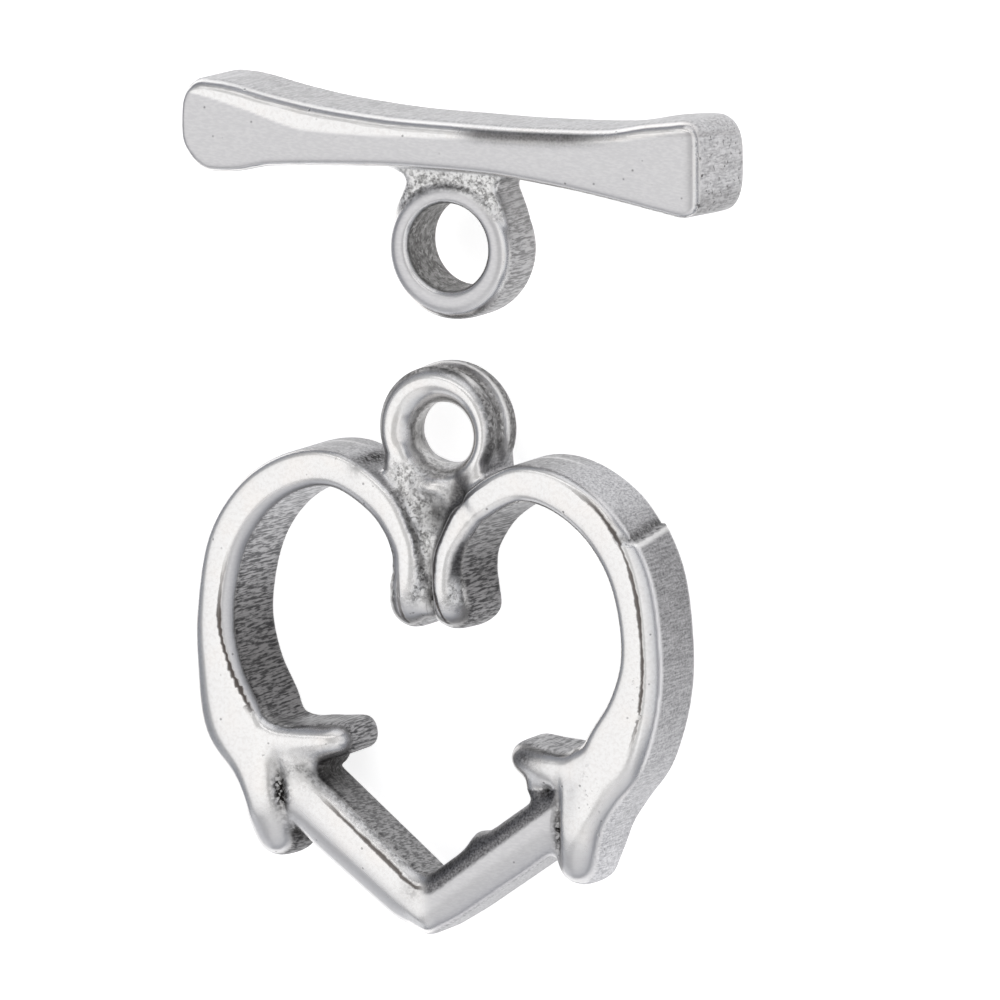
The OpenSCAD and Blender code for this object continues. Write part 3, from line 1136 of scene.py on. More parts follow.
            # How much of each of its places a row belongs to, from 0 to 1
            nose = max(0.0, 1 - abs(y - 0.3) / 0.1) if x < 0.2 else 0.0
            crest = max(0.0, 1 - abs(x - 0.5) / 0.35) if y < 0.13 else 0.0
            belly = max(0.0, 1 - abs(y - 0.54) / 0.12) if x > 0.85 else 0.0
            y += 0.005 * nose
            foot = max(0.0, 1 - abs(y - 0.63) / 0.14) if x > 0.75 else 0.0
            tail = max(0.0, min(1.0, (y - 0.69) / 0.06)) if x < 0.8 else 0.0
            y += -self.right_tail_high * tail if right else self.left_crest_low * crest
            places = np.array([nose, belly, foot, tail])
            rows.append([x * ARM_X + places @ out, -y * HEART_L, w * ARM_W + places @ wider,
                         low * HEART_D, high * HEART_D, *edge, self.arm_back, self.arm_draft,
                         0.03 + 0.22 * nose + 0.12 * tail])
        swept = rounded_end(flow(rows, STEPS))
        swept = rounded_end(swept[::-1])[::-1]
        return Limb(swept, flip=not right)

    def prong(self, side: Side) -> Limb:
        """The prong that branches inwards from the foot of an arm.

        Args:
            side: which arm.

        Returns:
            The limb.
        """
        rows = [[x * ARM_X, -y * HEART_L, w * ARM_W, low * HEART_D, high * HEART_D, *edge,
                 0.28 + 1.4 * max(0.0, 0.68 - x), 0.0, 0.03 + 0.5 * max(0.0, 0.6 - x)]
                for x, y, w, low, high, *edge in self.prong_rows]
        return Limb(rounded_end(flow(rows, STEPS)), flip=side is Side.LEFT)

    def link(self) -> Limb:
        """The V-shaped link, mitred at its tip: from the right fork round to the left one.

        Returns:
            The limb.
        """
        top = np.array(self.link_top) * (ARM_X, HEART_L)
        slope = math.atan2(HEART_L + top[1], top[0])
        mitre = self.link_width / math.cos(slope)
        tip = np.array([0.0, mitre / 2 - HEART_L])
        outward = np.array([math.sin(slope), -math.cos(slope)])
        low, high, straight = 0.0, self.link_high, self.link_straight
        rows = []
        for t in np.linspace(0, straight, self.link_rows):
            x, y = top + (tip - top) * t + outward * 0.11 * t
            rows.append([x, y, 2.1 - 0.14 * t, low, high, *self.link_right_edge, *self.link_end])
        rows.append([*tip, mitre + 0.14, low, high, *self.link_tip_edge, *self.link_end])
        for t in np.linspace(straight, 0, self.link_rows):
            x, y = top + (tip - top) * t + outward * 0.08 * t
            rows.append([-x - 0.09, y - 0.09, 2.34 - 0.34 * t, low, high,
                         *self.link_left_edge, *self.link_end])
        return Limb(np.array(rows))

    def stem(self) -> Limb:
        """The stem that fills the cleft between the noses.

        Returns:
            The limb.
        """
        first, last = self.stem_highs
        rows = [[0.0, -y * HEART_L, w * self.stem_width, 0.0, first + f * (last - first),
                 0.3, 0.3, 0.3, 0.3, 0.28, 0.0, 0.0] for y, w, f in self.stem_rows]
        return Limb(flow(rows, FILLER_STEPS))

    def opening(self, height: float) -> float:
        """How far the eye's bore lies to the right at a height, in millimetres."""
        share = (height - self.open_from) / (self.open_to - self.open_from)
        return self.bore_open * max(0.0, min(1.0, share))

    def shell(self) -> bpy.types.Mesh:
        """All limbs and the eye, fused into one skin.

        Returns:
            The skin's mesh, in the heart's own millimetres.
        """
        for side in Side:
            self.limbs[f"arm_{side.name.lower()}"] = self.arm(side)
            self.limbs[f"prong_{side.name.lower()}"] = self.prong(side)
        self.limbs["link"] = self.link()
        bm = bmesh.new()
        for limb in self.limbs.values():
            limb.build(bm)
        for vert in eye_ring(bm, (0.0, self.heart_eye_rise), self.eye_profile):
            away = math.hypot(vert.co.x, vert.co.y - self.heart_eye_rise)
            inside = max(0.0, (self.eye_radius - away) / self.eye_metal)
            behind = max(0.0, self.lean_below - vert.co.z)
            vert.co.y -= self.bore_low * inside + self.eye_lean * behind
            shift = (self.bore_left - self.opening(vert.co.z)) * inside + self.eye_turn * behind
            vert.co.x -= shift
        limbs = solid(bm, "heart_limbs")

        bm = bmesh.new()
        for x, size in self.webs:
            levels = tuple((share * size, height) for share, height in self.web_levels)
            lathe(bm, (x, self.web_y), levels, self.web_sides)
        webs = solid(bm, "webs")

        bm = bmesh.new()
        self.stem().build(bm)
        filler = solid(bm, "stem")
        bm = bmesh.new()
        lathe(bm, (-self.bore_left, self.heart_eye_rise - self.bore_low), self.bore_levels)
        for vert in bm.verts:
            vert.co.x += self.opening(vert.co.z)
        filler = carved(filler, solid(bm, "bore"))
        return fused("heart_shell", [limbs, filler, webs], self.voxel)

    def sculpt(self, skin: Skin) -> None:
        """Eases the joins as a casting has them and cuts the small forms.

        Args:
            skin: the fused skin.
        """
        skin.settle(self.settle_rounds)
        for spot in self.eases:
            skin.ease(spot.rounds, skin.near(spot.centre, spot.reach))
        # Rolls over the outer side of the link's front, with a swell that keeps its volume
        x, y, z = skin.place.T
        middle = 0.75 * (np.abs(x) - 6.1) - 12.3
        skin.ease(60, smoothstep(5.4, 5.0, np.abs(x)) * smoothstep(2.2, 2.7, z)
                  * smoothstep(0.0, -0.3, y - middle) * smoothstep(-12.4, -13.0, y), swell=0.44)
        for dent in self.dents:
            skin.push(-dent.depth * skin.near(dent.centre, dent.reach, dent.turn))
            skin.ease(2, skin.near(dent.centre, dent.reach, dent.turn))
        self.notch(skin)
        rough, _ = self.unpolished(skin, skin.spread(skin.normals()[:, 2], 3))
        grain = skin.grain(self.rough_waves, self.rough_seed, rough > 0.05)
        skin.push(self.rough_high * rough * grain)

    def above_notch(self, skin: Skin) -> np.ndarray:
        """How high each point lies above the sloping notch, in millimetres."""
        return skin.place[:, 1] - self.notch_y - self.notch_slope * (HEART_D - skin.place[:, 2])

    def notch(self, skin: Skin) -> None:
        """Steps the outer wall of the right arm where the casting's parting shows.

        Args:
            skin: the skin.
        """
        above = self.above_notch(skin)
        outer = (smoothstep(7.2, 8.0, skin.place[:, 0])
                 * smoothstep(0.05, 0.4, skin.normals()[:, 0]))
        (lip, below), (drop, over) = self.notch_lip, self.notch_drop
        step = np.where(above < 0, lip * np.exp(above / below), -drop * np.exp(-above / over))
        skin.push(step * outer)

    def unpolished(self, skin: Skin, up: np.ndarray) -> tuple[np.ndarray, np.ndarray]:
        """Where the casting's rough skin shows, and the smooth gutter beside it.

        Args:
            skin: the skin.
            up: how far each point faces up.

        Returns:
            The masks of the rough skin and of the gutter.
        """
        x, y, z = skin.place.T
        stem = (smoothstep(1.9, 1.4, np.abs(x)) * between(-5.8, -5.2, -0.8, -0.2, y)
                * smoothstep(3.35, 3.2, z) * smoothstep(0.1, 0.5, up))
        past = x - 0.75 * smoothstep(-4.2, -0.8, y)
        gutter = stem * smoothstep(-0.15, 0.25, past) * smoothstep(-5.0, -4.2, y)
        lip = skin.near((0.15, -1.15, 2.8), (0.75, 0.33, 0.8))
        crust = stem * (1 - gutter) * (1 - lip)
        off_bore = np.hypot(x + self.bore_left, y - self.heart_eye_rise + self.bore_low)
        funnel = smoothstep(1.42, 1.2, off_bore) * between(0.7, 1.4, 2.2, 2.6, z)
        crust = np.maximum(crust, funnel * 0.6)
        return skin.marked(crust, self.rough_spots), gutter

    def lanes(self, skin: Skin) -> tuple[np.ndarray, dict[str, np.ndarray]]:
        """Where each point lies on the limbs.

        Args:
            skin: the skin.

        Returns:
            Distance past the front's lined edge, and each limb's own points by its name.
        """
        best = np.full(skin.count, 1e9)
        edge, which = np.zeros(skin.count), np.zeros(skin.count, int)
        flat = skin.place[:, :2]
        for number, (name, limb) in enumerate(self.limbs.items()):
            samples = limb.axis()
            away = ((flat[:, None, :] - samples[None, :, :2]) ** 2).sum(2)
            pick = away.argmin(1)
            x, y, way_x, way_y, half, outer, inner = samples[pick].T
            far = np.sqrt(away[np.arange(skin.count), pick]) / half
            across = way_x * (flat[:, 1] - y) - way_y * (flat[:, 0] - x)
            past = across - (half - outer) if name == "arm_right" else -across - (half - inner)
            near = far < best
            best = np.where(near, far, best)
            edge = np.where(near, past, edge)
            which = np.where(near, number, which)
        return edge, {name: which == number for number, name in enumerate(self.limbs)}

    def tones(self, lie: HeartLie) -> np.ndarray:
        """How light the cast walls are, region by region: the eye's walls dark, walls that face
        upwards in the upper heart light, and painted shade in the gutter beside the right arm.

        Args:
            lie: how the skin lies.

        Returns:
            The tones, from 0 for dark to 1 for light.
        """
        x, y, normal = lie.x, lie.y, lie.normal
        inner_left = np.interp(y, [-12, -8.5, -6.5, -4.5, -1.5], [0.22, 0.06, 0.16, 0.5, 0.9])
        outer_right = np.interp(y, [-15, -12, -9, -5, -2.7, -2.5, -1.5, 0],
                                [0.95, 0.85, 0.6, 0.42, 0.42, 0.3, 0.35, 0.7])
        nose_right = np.interp(y, [-6, -4.5, -2.5, -1], [0.3, 0.12, 0.35, 0.7])
        link = np.where((x > 0) & (normal[:, 1] < 0.1), 0.7,
                        np.interp(x, [-4.5, -1.0], [0.08, 0.34]))
        facing = smoothstep(-0.1, 0.3, normal[:, 0])
        tone = np.full(lie.skin.count, 0.55)
        for here, shown, hidden in (
            (x < -1.5, inner_left, 0.6),
            ((x > 0.2) & (x < 4.2) & (y > -7), nose_right, 0.6),
            (x > 6, outer_right, 0.5),
            ((x > 2.5) & (x < 7) & (y < -9) & (y > -12), 0.5, 0.5),
            ((x < -2.5) & (x > -5.5) & (y < -9) & (y > -11.8), 0.35, 0.35),
            (lie.link > 0.5, link, link),
        ):
            tone = np.where(here, facing * shown + (1 - facing) * hidden, tone)
        top = smoothstep(0.2, 0.7, normal[:, 1]) * smoothstep(-3.0, -1.0, y)
        tone = tone * (1 - top) + np.where(x < 0, 0.75, 0.8) * top
        eye = smoothstep(0.0, 0.4, y)
        tone = tone * (1 - eye) + np.where(x < -0.5, 0.10, 0.16) * eye
        tone = lie.skin.spread(tone, 5)
        tone = np.where(lie.inner_link > 0.3, np.minimum(tone, 0.34), tone)
        # Painted shade: the gutter beside the right arm is made nearly black
        return tone * (1 - lie.gutter) + 0.06 * lie.gutter

    def walls(self, lie: HeartLie) -> np.ndarray:
        """Mask of the cast walls, which are streaked instead of polished, and of the gutter beside
        the right arm, which takes their look as painted shade.

        Args:
            lie: how the skin lies.

        Returns:
            The mask.
        """
        turn = 0.2 * lie.outside
        wall = smoothstep(0.62 - turn, 0.3 - turn, np.abs(lie.up))
        wall = np.maximum(wall, smoothstep(-0.2, -0.6, lie.up) * 0.7)
        wall = np.maximum(wall, lie.inner_link) * (1 - lie.strip)
        # The gutter's painted shade takes the streaked wall look
        wall = np.maximum(wall, lie.gutter * 0.9)
        wall = np.maximum(wall, 0.75 * lie.skin.near((4.0, -10.75, 3.2), (0.75, 0.5, 0.9)))
        left = lie.eye_side * smoothstep(-0.15, -0.45, lie.normal[:, 0])
        return np.maximum(wall, left * smoothstep(0.96, 0.84, lie.up))

    def darkening_and_highlights(self, lie: HeartLie, wall: np.ndarray) -> tuple[np.ndarray, np.ndarray]:
        """Where the darkening stayed in recesses and where it is worn off ridges, with painted
        highlights on the eye's flange and crest and on the lip below the notch.

        Args:
            lie: how the skin lies.
            wall: mask of the walls.

        Returns:
            The masks of the soot, and of the worn places together with the painted highlights.
        """
        skin = lie.skin
        soot = skin.marked(smoothstep(0.05, 0.22, skin.hollow(RECESS_ROUNDS)), self.soot_spots)
        above, outer = lie.above_notch, lie.outer
        soot = np.maximum(soot, 0.55 * outer * between(0.0, 0.08, 0.15, 0.4, above))
        wear_and_highlight = smoothstep(0.03, 0.09, -skin.hollow(RIDGE_ROUNDS)) * wall
        # The right side of the eye: a dark band between a painted highlight along the flange and a
        # painted glint on the crest
        facing = np.maximum(lie.normal[:, 0], 0.9 * lie.normal[:, 1])
        right = lie.eye_side * smoothstep(0.1, 0.5, facing)
        flange = right * smoothstep(0.17, 0.06, np.abs(lie.z - 1.24))
        glint = skin.near((1.3, 2.7, 2.45), (0.5, 0.3, 0.5), -42)
        band = (right - flange) * (1 - glint) * smoothstep(0.84, 0.62, lie.up)
        wear_and_highlight = np.maximum(wear_and_highlight * (1 - right), np.maximum(flange, glint))
        soot = np.maximum(soot, 0.48 * band)
        # Painted highlight: a thin bright line along the lip below the notch
        return soot, np.maximum(wear_and_highlight, outer * between(-0.25, -0.1, -0.04, 0.04, above))

    def painted_reflection_lines(self, lie: HeartLie) -> np.ndarray:
        """Where a painted dark reflection line runs beside the front's edge.

        Args:
            lie: how the skin lies.

        Returns:
            The mask.
        """
        x, y = lie.x, lie.y
        reflection_line = np.where(x > 0, 0.9 * between(-10.5, -8.5, -1.6, -0.4, y),
                       0.95 * between(-12.2, -11.2, -7.0, -3.5, y))
        link = np.where(x < 0, 0.9 * smoothstep(-12.6, -13.8, y), 0.0)
        reflection_line = np.where(lie.link > 0.5, link, reflection_line)
        reflection_line = np.where(lie.limbs["prong_left"] | lie.limbs["prong_right"], 0.0, reflection_line)
        return lie.skin.spread(reflection_line, 4) * smoothstep(0.5, 0.8, lie.up)

    def satins(self, lie: HeartLie) -> np.ndarray:
        """Where the polish is duller and greyer: right limb of the link, tails, noses and bevels.

        Args:
            lie: how the skin lies.

        Returns:
            The mask.
        """
        x, y, edge, skin = lie.x, lie.y, lie.edge, lie.skin
        tails = smoothstep(-13.2, -14.6, y) * smoothstep(5.0, 5.3, np.abs(x))
        noses = (skin.near((-0.7, -6.3, 3.2), (0.9, 0.8, 1.2))
                 + skin.near((1.1, -6.4, 3.2), (1.2, 0.8, 1.2)))
        shoulder = smoothstep(-0.1, 0.15, edge) * smoothstep(-9.5, -11.5, y)
        satin = np.maximum(lie.link * smoothstep(-0.2, 0.5, x) * smoothstep(0.8, 0.96, lie.up),
                           lie.outer_link)
        for part in (np.minimum(1.0, 0.7 * tails + 0.8 * noses) * lie.front,
                     0.85 * lie.limbs["arm_left"] * smoothstep(0.0, 0.1, edge) * lie.front,
                     0.5 * lie.limbs["arm_right"] * shoulder * lie.front,
                     0.9 * lie.outside * smoothstep(0.66, 0.5, np.abs(lie.up)),
                     0.55 * lie.left_limb * smoothstep(-0.6, -1.1, edge)):
            satin = np.maximum(satin, part)
        return satin

    def dress(self, skin: Skin) -> None:
        """Stores the bands that the finish reads.

        Args:
            skin: the sculpted skin.
        """
        lie = HeartLie(skin, self)
        wall = self.walls(lie)
        soot, wear_and_highlight = self.darkening_and_highlights(lie, wall)
        scale = (lie.left_limb - lie.strip) * between(0.02, 0.1, 0.34, 0.5, lie.edge)
        crust = np.maximum(lie.crust, 0.9 * scale * lie.front)
        calm = (0.65 * smoothstep(5.5, 7.0, lie.x) + lie.inner_link + lie.outer_link
                + smoothstep(-1.6, -0.6, lie.y) * (1 - lie.eye) + 0.6 * lie.eye)
        pits = skin.marked(np.zeros(skin.count), self.pit_spots)
        for band, values in (
            (Band.CALM, np.clip(calm, 0.0, 1.0)), (Band.SATIN, self.satins(lie)),
            (Band.WALL, wall * (1 - 0.3 * lie.eye)), (Band.TONE, self.tones(lie)),
            (Band.EDGE, lie.edge), (Band.PITS, pits), (Band.SOOT, skin.spread(soot, 2)),
            (Band.CRUST, skin.spread(crust, 2)), (Band.WEAR_AND_HIGHLIGHT, wear_and_highlight), (Band.REFLECTION_LINE, self.painted_reflection_lines(lie)),
        ):
            skin.note(band, values)

    def build(self) -> Skin:
        """Makes the finished casting.

        Returns:
            The skin, in the heart's own millimetres.
        """
        skin = Skin(self.shell())
        self.sculpt(skin)
        self.dress(skin)
        return skin


class HeartLie:
    """How the heart's points lie: place, facing and limbs, and the masks that its bands share."""

    def __init__(self, skin: Skin, heart: HeartRing) -> None:
        """Works the masks out.

        Args:
            skin: the sculpted skin.
            heart: the casting.
        """
        self.skin = skin
        self.x, self.y, self.z = x, y, z = skin.place.T
        self.normal = normal = skin.normals()
        self.up = skin.spread(normal[:, 2], 3)
        self.front = smoothstep(0.3, 0.6, self.up)
        self.edge, self.limbs = heart.lanes(skin)
        self.crust, self.gutter = heart.unpolished(skin, self.up)
        # The link without its ends, its inner and outer walls at the right, its left limb, and the
        # bright strip inside that
        self.link = self.limbs["link"] * smoothstep(5.6, 5.2, np.abs(x))
        self.inner_link = (self.link * smoothstep(-0.1, 0.3, x)
                           * smoothstep(-0.30, -0.16, self.edge))
        self.outer_link = self.link * smoothstep(0.0, 0.6, x) * smoothstep(0.1, -0.1, normal[:, 1])
        self.left_limb = self.link * smoothstep(-0.5, -0.9, x)
        self.strip = (self.left_limb * between(0.05, 0.09, 0.17, 0.25, self.edge)
                      * smoothstep(-4.8, -3.6, x) * smoothstep(2.4, 2.7, z))
        # The eye, and its outer side
        self.eye = smoothstep(-0.4, 0.2, y)
        self.eye_side = self.eye * smoothstep(1.8, 2.0, np.hypot(x, y - heart.heart_eye_rise))
        # The right arm's outer side, its wall alone, and the height above its notch
        self.outside = (smoothstep(5.5, 6.8, x) * smoothstep(0.1, 0.4, normal[:, 0])
                        * smoothstep(-11.5, -10.0, y))
        self.outer = smoothstep(7.2, 8.0, x) * smoothstep(0.3, 0.6, normal[:, 0])
        self.above_notch = heart.above_notch(skin)


@dataclass
class ToggleBar:
    """The toggle bar with its neck and link eye."""

    voxel: float = 0.075
    # The eye: how far its middle lies below the bar's, and how far its bore lies above that
    eye_drop: float = 4.0
    bore_high: float = 0.15
    # Radius of the eye and width of its metal, and the neck's back, front and edges
    eye_radius: float = 2.55
    eye_metal: float = 0.95
    neck_low: float = 0.75
    neck_high: float = 2.85
    neck_edge: float = 0.2
    settle_rounds: int = 8
    # The right end: how much shorter it is, and how much more its front is cut back
    end_cut: float = 0.18
    end_slant: float = 0.3
    # Fall of the front above its ridge for each millimetre, and how far the left end is raised
    facet_tilt: float = 0.03
    left_rise: float = 0.16
    # How far the lower edge swells beside the left end, and the upper one beside the right end
    left_swell: float = 0.12
    right_swell: float = 0.15

    # x as a share of half the length, height from the middle's to the end's, depth as a share
    bar_rows: Table = (
        (0.00, 0.00, 1.00), (0.22, 0.03, 1.00), (0.45, 0.24, 1.00), (0.65, 0.56, 1.00),
        (0.82, 0.88, 1.00), (0.92, 1.00, 1.00), (0.965, 0.93, 0.99), (0.988, 0.72, 0.96),
        (1.00, 0.32, 0.88),
    )
    # The left end is rounder: how much lower it is than the right one at each of those places
    left_fall: tuple[float, ...] = (0.0, 0.0, 0.0, 0.0, -0.02, 0.09, 0.39, 0.64, 0.90)
    # Both bevels' widths and drops, back rounding, draft and crown, as in a limb's columns, and
    # how much rounder the back gets at the right end
    edges: tuple[float, ...] = (0.30, 0.36, 0.20, 0.16, 0.40, 0.0, 0.05)
    end_round: float = 0.5
    # How much thicker the middle is than the table has it
    middle_swell: float = 0.14
    # Radius and height round the eye's profile and up its bore, and the neck's y share and width
    eye_profile: Table = (
        (2.1, 0.5), (2.38, 0.6), (2.53, 0.9), (2.55, 1.3), (2.55, 2.1), (2.5, 2.62), (2.34, 2.95),
        (2.1, 3.08), (1.85, 3.1), (1.7, 3.04), (1.6, 2.86), (1.6, 2.3), (1.6, 1.3), (1.6, 0.8),
        (1.7, 0.56), (1.85, 0.5),
    )
    bore_levels: Table = ((1.75, -0.2), (1.6, 0.9), (1.6, 2.7), (1.75, 3.9))
    neck_rows: Table = (
        (0.0, 6.8), (0.23, 6.5), (0.26, 5.6), (0.30, 4.6), (0.35, 3.9), (0.42, 3.72),
        (0.5, 3.98), (0.68, 4.56), (0.88, 4.86),
    )
    # Places along the bar as shares of half its length, and the front's ridge there
    ridge_at: tuple[float, ...] = (-1.0, -0.95, -0.73, -0.54, -0.3, 0.0, 0.45, 0.75, 1.0)
    ridge_high: tuple[float, ...] = (0.75, 0.65, 0.45, 0.15, 0.2, 0.35, 0.5, 0.75, 0.95)

    def bar(self) -> Limb:
        """The four-sided bar, slim in the middle.

        Returns:
            The limb.
        """
        rise = BAR_END_H - BAR_MID_H
        right, left = (
            flow([[x * BAR_HALF, 0.0, BAR_MID_H + (h - fall) * rise, (1 - d) * BAR_D,
                   (d + max(0.0, fall) * 0.05) * BAR_D]
                  for (x, h, d), fall in zip(self.bar_rows, falls)], STEPS)
            for falls in ([0.0] * len(self.bar_rows), self.left_fall))
        left = left[:0:-1].copy()
        left[:, 0] *= -1
        rows = np.concatenate([left, right])
        rows[:, 1] += self.sag(rows[:, 0])
        rows[:, 2] += self.middle_swell * smoothstep(0.75, 0.3, np.abs(rows[:, 0]) / BAR_HALF)
        extra = np.tile(self.edges, (len(rows), 1))
        extra[:, 4] += self.end_round * smoothstep(0.8, 0.97, rows[:, 0] / BAR_HALF)
        return Limb(np.concatenate([rows, extra], axis=1))

    def sag(self, x: np.ndarray) -> np.ndarray:
        """Height of the bar's middle line: the right end hangs a little.

        Args:
            x: place along the bar, in millimetres.

        Returns:
            The heights, in millimetres.
        """
        along = x / BAR_HALF
        return (-0.10 * (1 - along ** 2) - 0.36 * smoothstep(0.0, 1.0, along)
                + 0.1 * smoothstep(-0.4, -1.0, along))

    def shell(self) -> bpy.types.Mesh:
        """The bar, neck and eye, fused into one skin.

        Returns:
            The skin's mesh, in the bar's own millimetres.
        """
        bm = bmesh.new()
        self.bar().build(bm)
        for vert in eye_ring(bm, (0.0, -self.eye_drop), self.eye_profile):
            away = math.hypot(vert.co.x, vert.co.y + self.eye_drop)
            vert.co.y += self.bore_high * max(0.0, (self.eye_radius - away) / self.eye_metal)
        main = solid(bm, "bar_limbs")
        bm = bmesh.new()
        rows = [[0.0, -y * self.eye_drop, w, self.neck_low, self.neck_high,
                 *[self.neck_edge] * 5, 0.0, 0.0] for y, w in self.neck_rows]
        Limb(flow(rows, FILLER_STEPS)).build(bm)
        filler = solid(bm, "neck")
        bm = bmesh.new()
        lathe(bm, (0.0, self.bore_high - self.eye_drop), self.bore_levels)
        filler = carved(filler, solid(bm, "bore"))
        return fused("bar_shell", [main, filler], self.voxel)

    def sculpt(self, skin: Skin) -> None:
        """Eases the joins as a casting has them, and shapes both ends.

        Args:
            skin: the fused skin.
        """
        skin.settle(self.settle_rounds)
        # x, y and z are views of the places, so that each step starts from what the last one moved
        x, y, z = skin.place.T
        cut = self.end_cut + self.end_slant * smoothstep(1.0, BAR_D, z)
        skin.place[:, 0] -= cut * smoothstep(8.5, 10.4, x)
        skin.place[:, 1] += self.left_rise * smoothstep(-9.4, -10.6, x)
        skin.place[:, 1] -= (self.left_swell * smoothstep(0.0, -0.8, y)
                             * between(-10.4, -9.4, -8.4, -7.0, x))
        skin.place[:, 1] += (self.right_swell * smoothstep(0.0, 0.8, y)
                             * between(6.3, 8.2, 9.8, 10.7, x))
        above = np.maximum(0.0, y - self.sag(x) - self.ridge(x) * self.half_height(x))
        skin.place[:, 2] -= self.facet_tilt * above * smoothstep(2.9, 3.4, z)
        skin.ease(3, smoothstep(3.0, 3.4, z))

    def half_height(self, x: np.ndarray) -> np.ndarray:
        """Half the bar's height.

        Args:
            x: place along the bar, in millimetres.

        Returns:
            The half heights, in millimetres.
        """
        return np.interp(np.abs(x) / BAR_HALF, [at for at, _, _ in self.bar_rows],
                         [(BAR_MID_H + h * (BAR_END_H - BAR_MID_H)) / 2
                          for _, h, _ in self.bar_rows])

    def ridge(self, x: np.ndarray) -> np.ndarray:
        """Height of the front's soft ridge above the middle line, as a share of half the height.

        Args:
            x: place along the bar, in millimetres.

        Returns:
            The shares.
        """
        return np.interp(x / BAR_HALF, self.ridge_at, self.ridge_high)

    def dress(self, skin: Skin) -> None:
        """Stores the bands that the finish reads.

        Args:
            skin: the sculpted skin.
        """
        normal = skin.normals()
        up = skin.spread(normal[:, 2], 2)
        steep = smoothstep(0.6, 0.3, np.abs(up))
        x, y, z = skin.place.T
        half = self.half_height(x)
        level = y - self.sag(x)
        front = smoothstep(0.8, 0.96, up)
        calm = smoothstep(0.2, 0.6, normal[:, 1]) * 0.5 + smoothstep(9.0, 10.0, x) * 0.5
        satin = front * smoothstep(0.04, -0.04, level - self.ridge(x) * half)
        wall = steep * 0.85
        eye = smoothstep(-1.9, -2.3, y)
        bore = smoothstep(1.75, 1.64, np.hypot(x, y - self.bore_high + self.eye_drop)) * steep
        neck = between(-2.9, -2.4, -1.2, -1.05, y) * smoothstep(3.1, 2.95, z)
        crust = np.maximum(bore * 0.8, neck * smoothstep(0.3, 0.7, up))
        soot = np.maximum(smoothstep(0.05, 0.25, skin.hollow(RECESS_ROUNDS)), bore * 0.55)
        wear_and_highlight = smoothstep(0.03, 0.09, -skin.hollow(RIDGE_ROUNDS)) * wall
        eye_wall = smoothstep(-1.0, -1.3, y) * smoothstep(0.2, 0.6, normal[:, 0])
        tone = 0.66 - 0.2 * bore
        tone = tone - 0.25 * eye_wall * (1 - bore)
        pits = smoothstep(9.9, 10.2, x) * smoothstep(0.6, 0.9, normal[:, 0])
        # A shaded streak below the front's upper edge, right of the middle
        shade = (between(0.2, 1.6, 5.0, 7.6, x) * smoothstep(0.75, 0.3, half - level)
                 * smoothstep(0.5, 0.8, up))
        # The painted shade takes the streaked wall look at a dark tone
        wall = np.maximum(wall, 0.85 * shade)
        tone = tone * (1 - shade) + 0.16 * shade
        calm = np.maximum(calm, shade)
        # A faint painted dark reflection line runs below the front's upper edge
        for band, values in (
            (Band.CALM, calm), (Band.SATIN, np.maximum(satin, eye * front)), (Band.WALL, wall),
            (Band.SOOT, skin.spread(soot, 2)), (Band.CRUST, skin.spread(crust, 2)),
            (Band.TONE, skin.spread(tone, 2)), (Band.EDGE, half - level - 0.30),
            (Band.REFLECTION_LINE, 0.15 * smoothstep(0.0, 0.3, level)), (Band.PITS, pits), (Band.WEAR_AND_HIGHLIGHT, wear_and_highlight),
        ):
            skin.note(band, values)

    def build(self) -> Skin:
        """Makes the finished casting.

        Returns:
            The skin, in the bar's own millimetres.
        """
        skin = Skin(self.shell())
        self.sculpt(skin)
        self.dress(skin)
        return skin


def place_casting(skin: Skin, name: str, node: str, at: Vector,
                  material: bpy.types.Material) -> bpy.types.Object:
    """Puts a finished skin into the scene in place of its solid.

    Args:
        skin: the skin, in its own millimetres.
        name: the piece's name.
        node: the node that it stands for.
        at: the casting's own origin in the frame, in millimetres.
        material: its finish.

    Returns:
        The piece.
    """
    low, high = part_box(node)
    where = (skin.place + np.array(at)) * MM
    where = np.clip(where, np.array(low), np.array(high))
    skin.place = where
    skin.write()
    skin.mesh.name = name
    skin.mesh.shade_smooth()
    skin.mesh.materials.clear()
    skin.mesh.materials.append(material)
    piece = placed(name, skin.mesh)
    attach(piece, "root")
    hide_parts(node)
    return piece


# ------------------------------------------------------------------ studio

@dataclass(frozen=True)
class Softbox:
    """A soft rectangular light that faces the object: way to it, metres away, size and glow."""

    name: str
    way: Point
    distance: float
    size: tuple[float, float]
    glow: float

    def build(self) -> None:
        """Adds the light."""
        data = bpy.data.lights.new(self.name, "AREA")
        data.shape = "RECTANGLE"
        data.size, data.size_y = self.size
        data.energy = self.glow * math.pi * self.size[0] * self.size[1]
        lamp = placed(self.name, data)
        direction = Vector(self.way).normalized()
        lamp.location = direction * self.distance
        lamp.rotation_mode = "QUATERNION"
        lamp.rotation_quaternion = direction.to_track_quat("Z", "Y")


